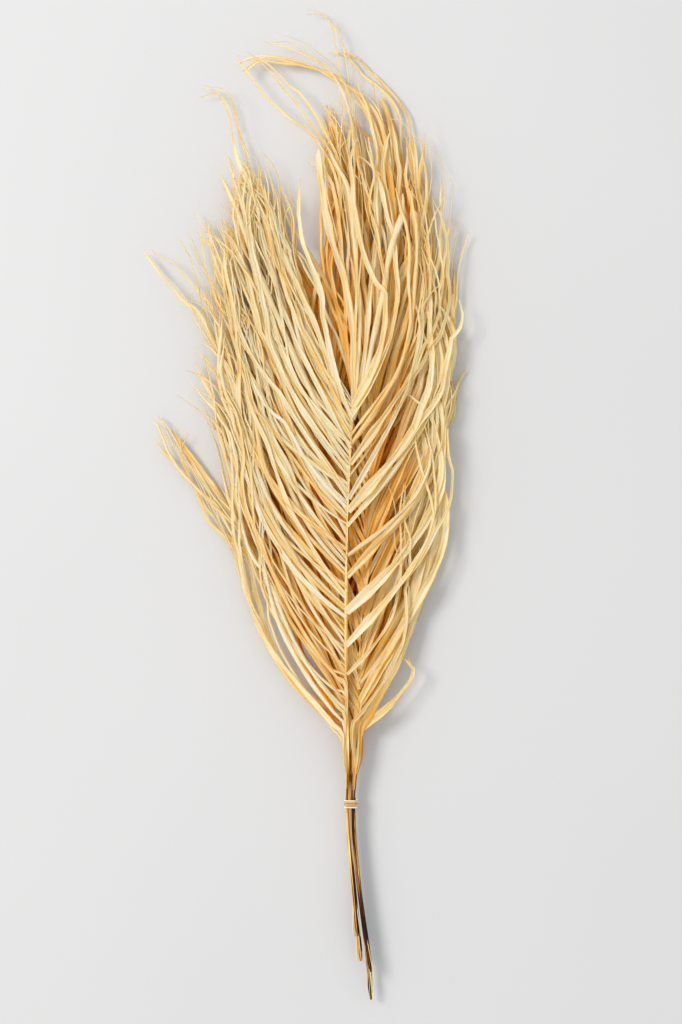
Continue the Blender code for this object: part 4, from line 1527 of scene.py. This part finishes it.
def string_tree():
    """A line in, a laid string out."""
    tree, given, read = new_tree("laid string", STRING_SIZES, ("half", "run"))
    curve = even_curves(tree, given)
    lay = add_node(tree, "ShaderNodeMath", {"operation": "DIVIDE"},
                   {0: read["run"], 1: given["Lay Length"]})
    lay = add_node(tree, "ShaderNodeMath", {"operation": "MULTIPLY"}, {0: lay, 1: math.tau})
    turned = add_node(tree, "GeometryNodeSetCurveTilt", {}, {"Curve": curve, "Tilt": lay})
    ring = add_node(tree, "GeometryNodeCurvePrimitiveCircle", {}, {"Resolution": STRING_SIDES, "Radius": 1.0})
    around = add_node(tree, "GeometryNodeSplineParameter", {}, {})
    lobe = add_node(tree, "ShaderNodeMath", {"operation": "MULTIPLY"}, {0: around, 1: math.pi * PLIES})
    lobe = add_node(tree, "ShaderNodeMath", {"operation": "SINE"}, {0: lobe})
    lobe = add_node(tree, "ShaderNodeMath", {"operation": "ABSOLUTE"}, {0: lobe})
    lobed = add_node(tree, "GeometryNodeStoreNamedAttribute", {"data_type": "FLOAT"},
                     {"Geometry": ring, "Name": "ply", "Value": lobe})
    least = add_node(tree, "ShaderNodeMath", {"operation": "SUBTRACT"}, {0: 1.0, 1: given["Groove"]})
    size = add_node(tree, "ShaderNodeMapRange", {}, {"Value": lobe, "To Min": least, "To Max": 1.0})
    position = add_node(tree, "GeometryNodeInputPosition", {}, {})
    place = add_node(tree, "ShaderNodeVectorMath", {"operation": "SCALE"}, {0: position, "Scale": size})
    lobed = add_node(tree, "GeometryNodeSetPosition", {}, {"Geometry": lobed, "Position": place})
    swept = add_node(tree, "GeometryNodeCurveToMesh", {},
                     {"Curve": turned, "Profile Curve": lobed, "Fill Caps": True,
                      "Scale": read["half"]})
    finish_tree(tree, swept, given["Material"])
    return tree


laid_string = string_tree()
print("the tree has", len(laid_string.nodes), "nodes")

# %% Cotton twine
TWINE_COLOURS = ((0.0, "FFF8EA"), (0.45, "F3DFBF"), (0.75, "CFA673"), (1.0, "8E5E32"))
TWINE_FIBRE = 0.6 * MM
FUZZ_BY = 0.3
CREST_LIGHT_GROOVE_SHADE = -0.35
TWINE_RELIEF = (0.5, 0.15 * MM)
TWINE_ROUGHNESS = 0.85
TWINE_GLOSS = 0.2
TWINE_SHEEN = 0.2


def twine_material():
    """Unbleached cotton twine, spun and laid: dull and slightly hairy. Its crests are painted paler and its
    grooves darker: painted light and shade.
    """
    material, tree, read = new_material("laid_cotton_twine", ("tone", "ply"))
    place = add_node(tree, "ShaderNodeTexCoord", {}, {}).outputs["Object"]
    fuzz = add_node(tree, "ShaderNodeTexNoise", {},
                    {"Vector": place, "Scale": 1.0 / TWINE_FIBRE, "Detail": 2.0})
    # Painted light on the crests of the plies, painted shade in the grooves between them.
    terms = ((fuzz, FUZZ_BY), (read["ply"], CREST_LIGHT_GROOVE_SHADE))
    tone = varied(tree, read["tone"], terms, 0.0)
    _, shader = set_surface(tree, tone, TWINE_COLOURS, fuzz, TWINE_RELIEF, TWINE_ROUGHNESS, TWINE_GLOSS)
    shader.inputs["Sheen Weight"].default_value = TWINE_SHEEN
    return material


twine_finish = twine_material()
print("twine is mostly", TWINE_COLOURS[1][1])

# %% Wind the string
OUTER_TURN_TONE = 0.42
SHADED_TURN_TONE = 0.8
TONE_CHANGES = (0.8, 1.2)
STRING_BEGINS = 0.03


def string_line():
    """The string's centre line, turn after turn round the four stalks, as the solid model's."""
    corner = STALK_SPACING / 2
    round_stalk = STALK_RADIUS + CLEARANCE + STRING_RADIUS
    points, tones = [], []
    for i in range(STEPS_PER_TURN * STRING_TURNS + 1):
        turn = i / STEPS_PER_TURN
        angle = (turn + STRING_BEGINS) * math.tau
        out = Vector((math.cos(angle), 0.0, math.sin(angle)))
        stalk = Vector((math.copysign(corner, out.x), 0.0, math.copysign(corner, out.z)))
        up = Vector((0.0, (turn - STRING_TURNS / 2) * STRING_PITCH, 0.0))
        points.append(TIE_CENTRE + stalk + out * round_stalk + up)
        # The middle turns are made browner than the end turns: painted shade.
        inside = smoothstep(*TONE_CHANGES, turn) * smoothstep(*TONE_CHANGES, STRING_TURNS - turn)
        tones.append(mix(OUTER_TURN_TONE, SHADED_TURN_TONE, inside))
    lines = line_mesh("string", [Strand(points, [STRING_RADIUS] * len(points), 0.0, 0.0)])
    lines.attributes["tone"].data.foreach_set("value", tones)
    return lines


tie = grown("wound_string", string_line(), laid_string, STRING_SIZES, twine_finish)
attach(tie, "root")
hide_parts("tie")
print(tie.name, triangle_count(tie), "triangles")

# %% [markdown]
# Last, the box of the dressed bunch is set beside the solid model's. The finer fronds may stand a little
# proud of it, but no more than their splits and curls need.

# %% Measure and finish
low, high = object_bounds()
beyond = (*(CAD_LOW - low), *(high - CAD_HIGH))
print("grown beyond the solid model, in mm:", [round(d / MM, 1) for d in beyond])
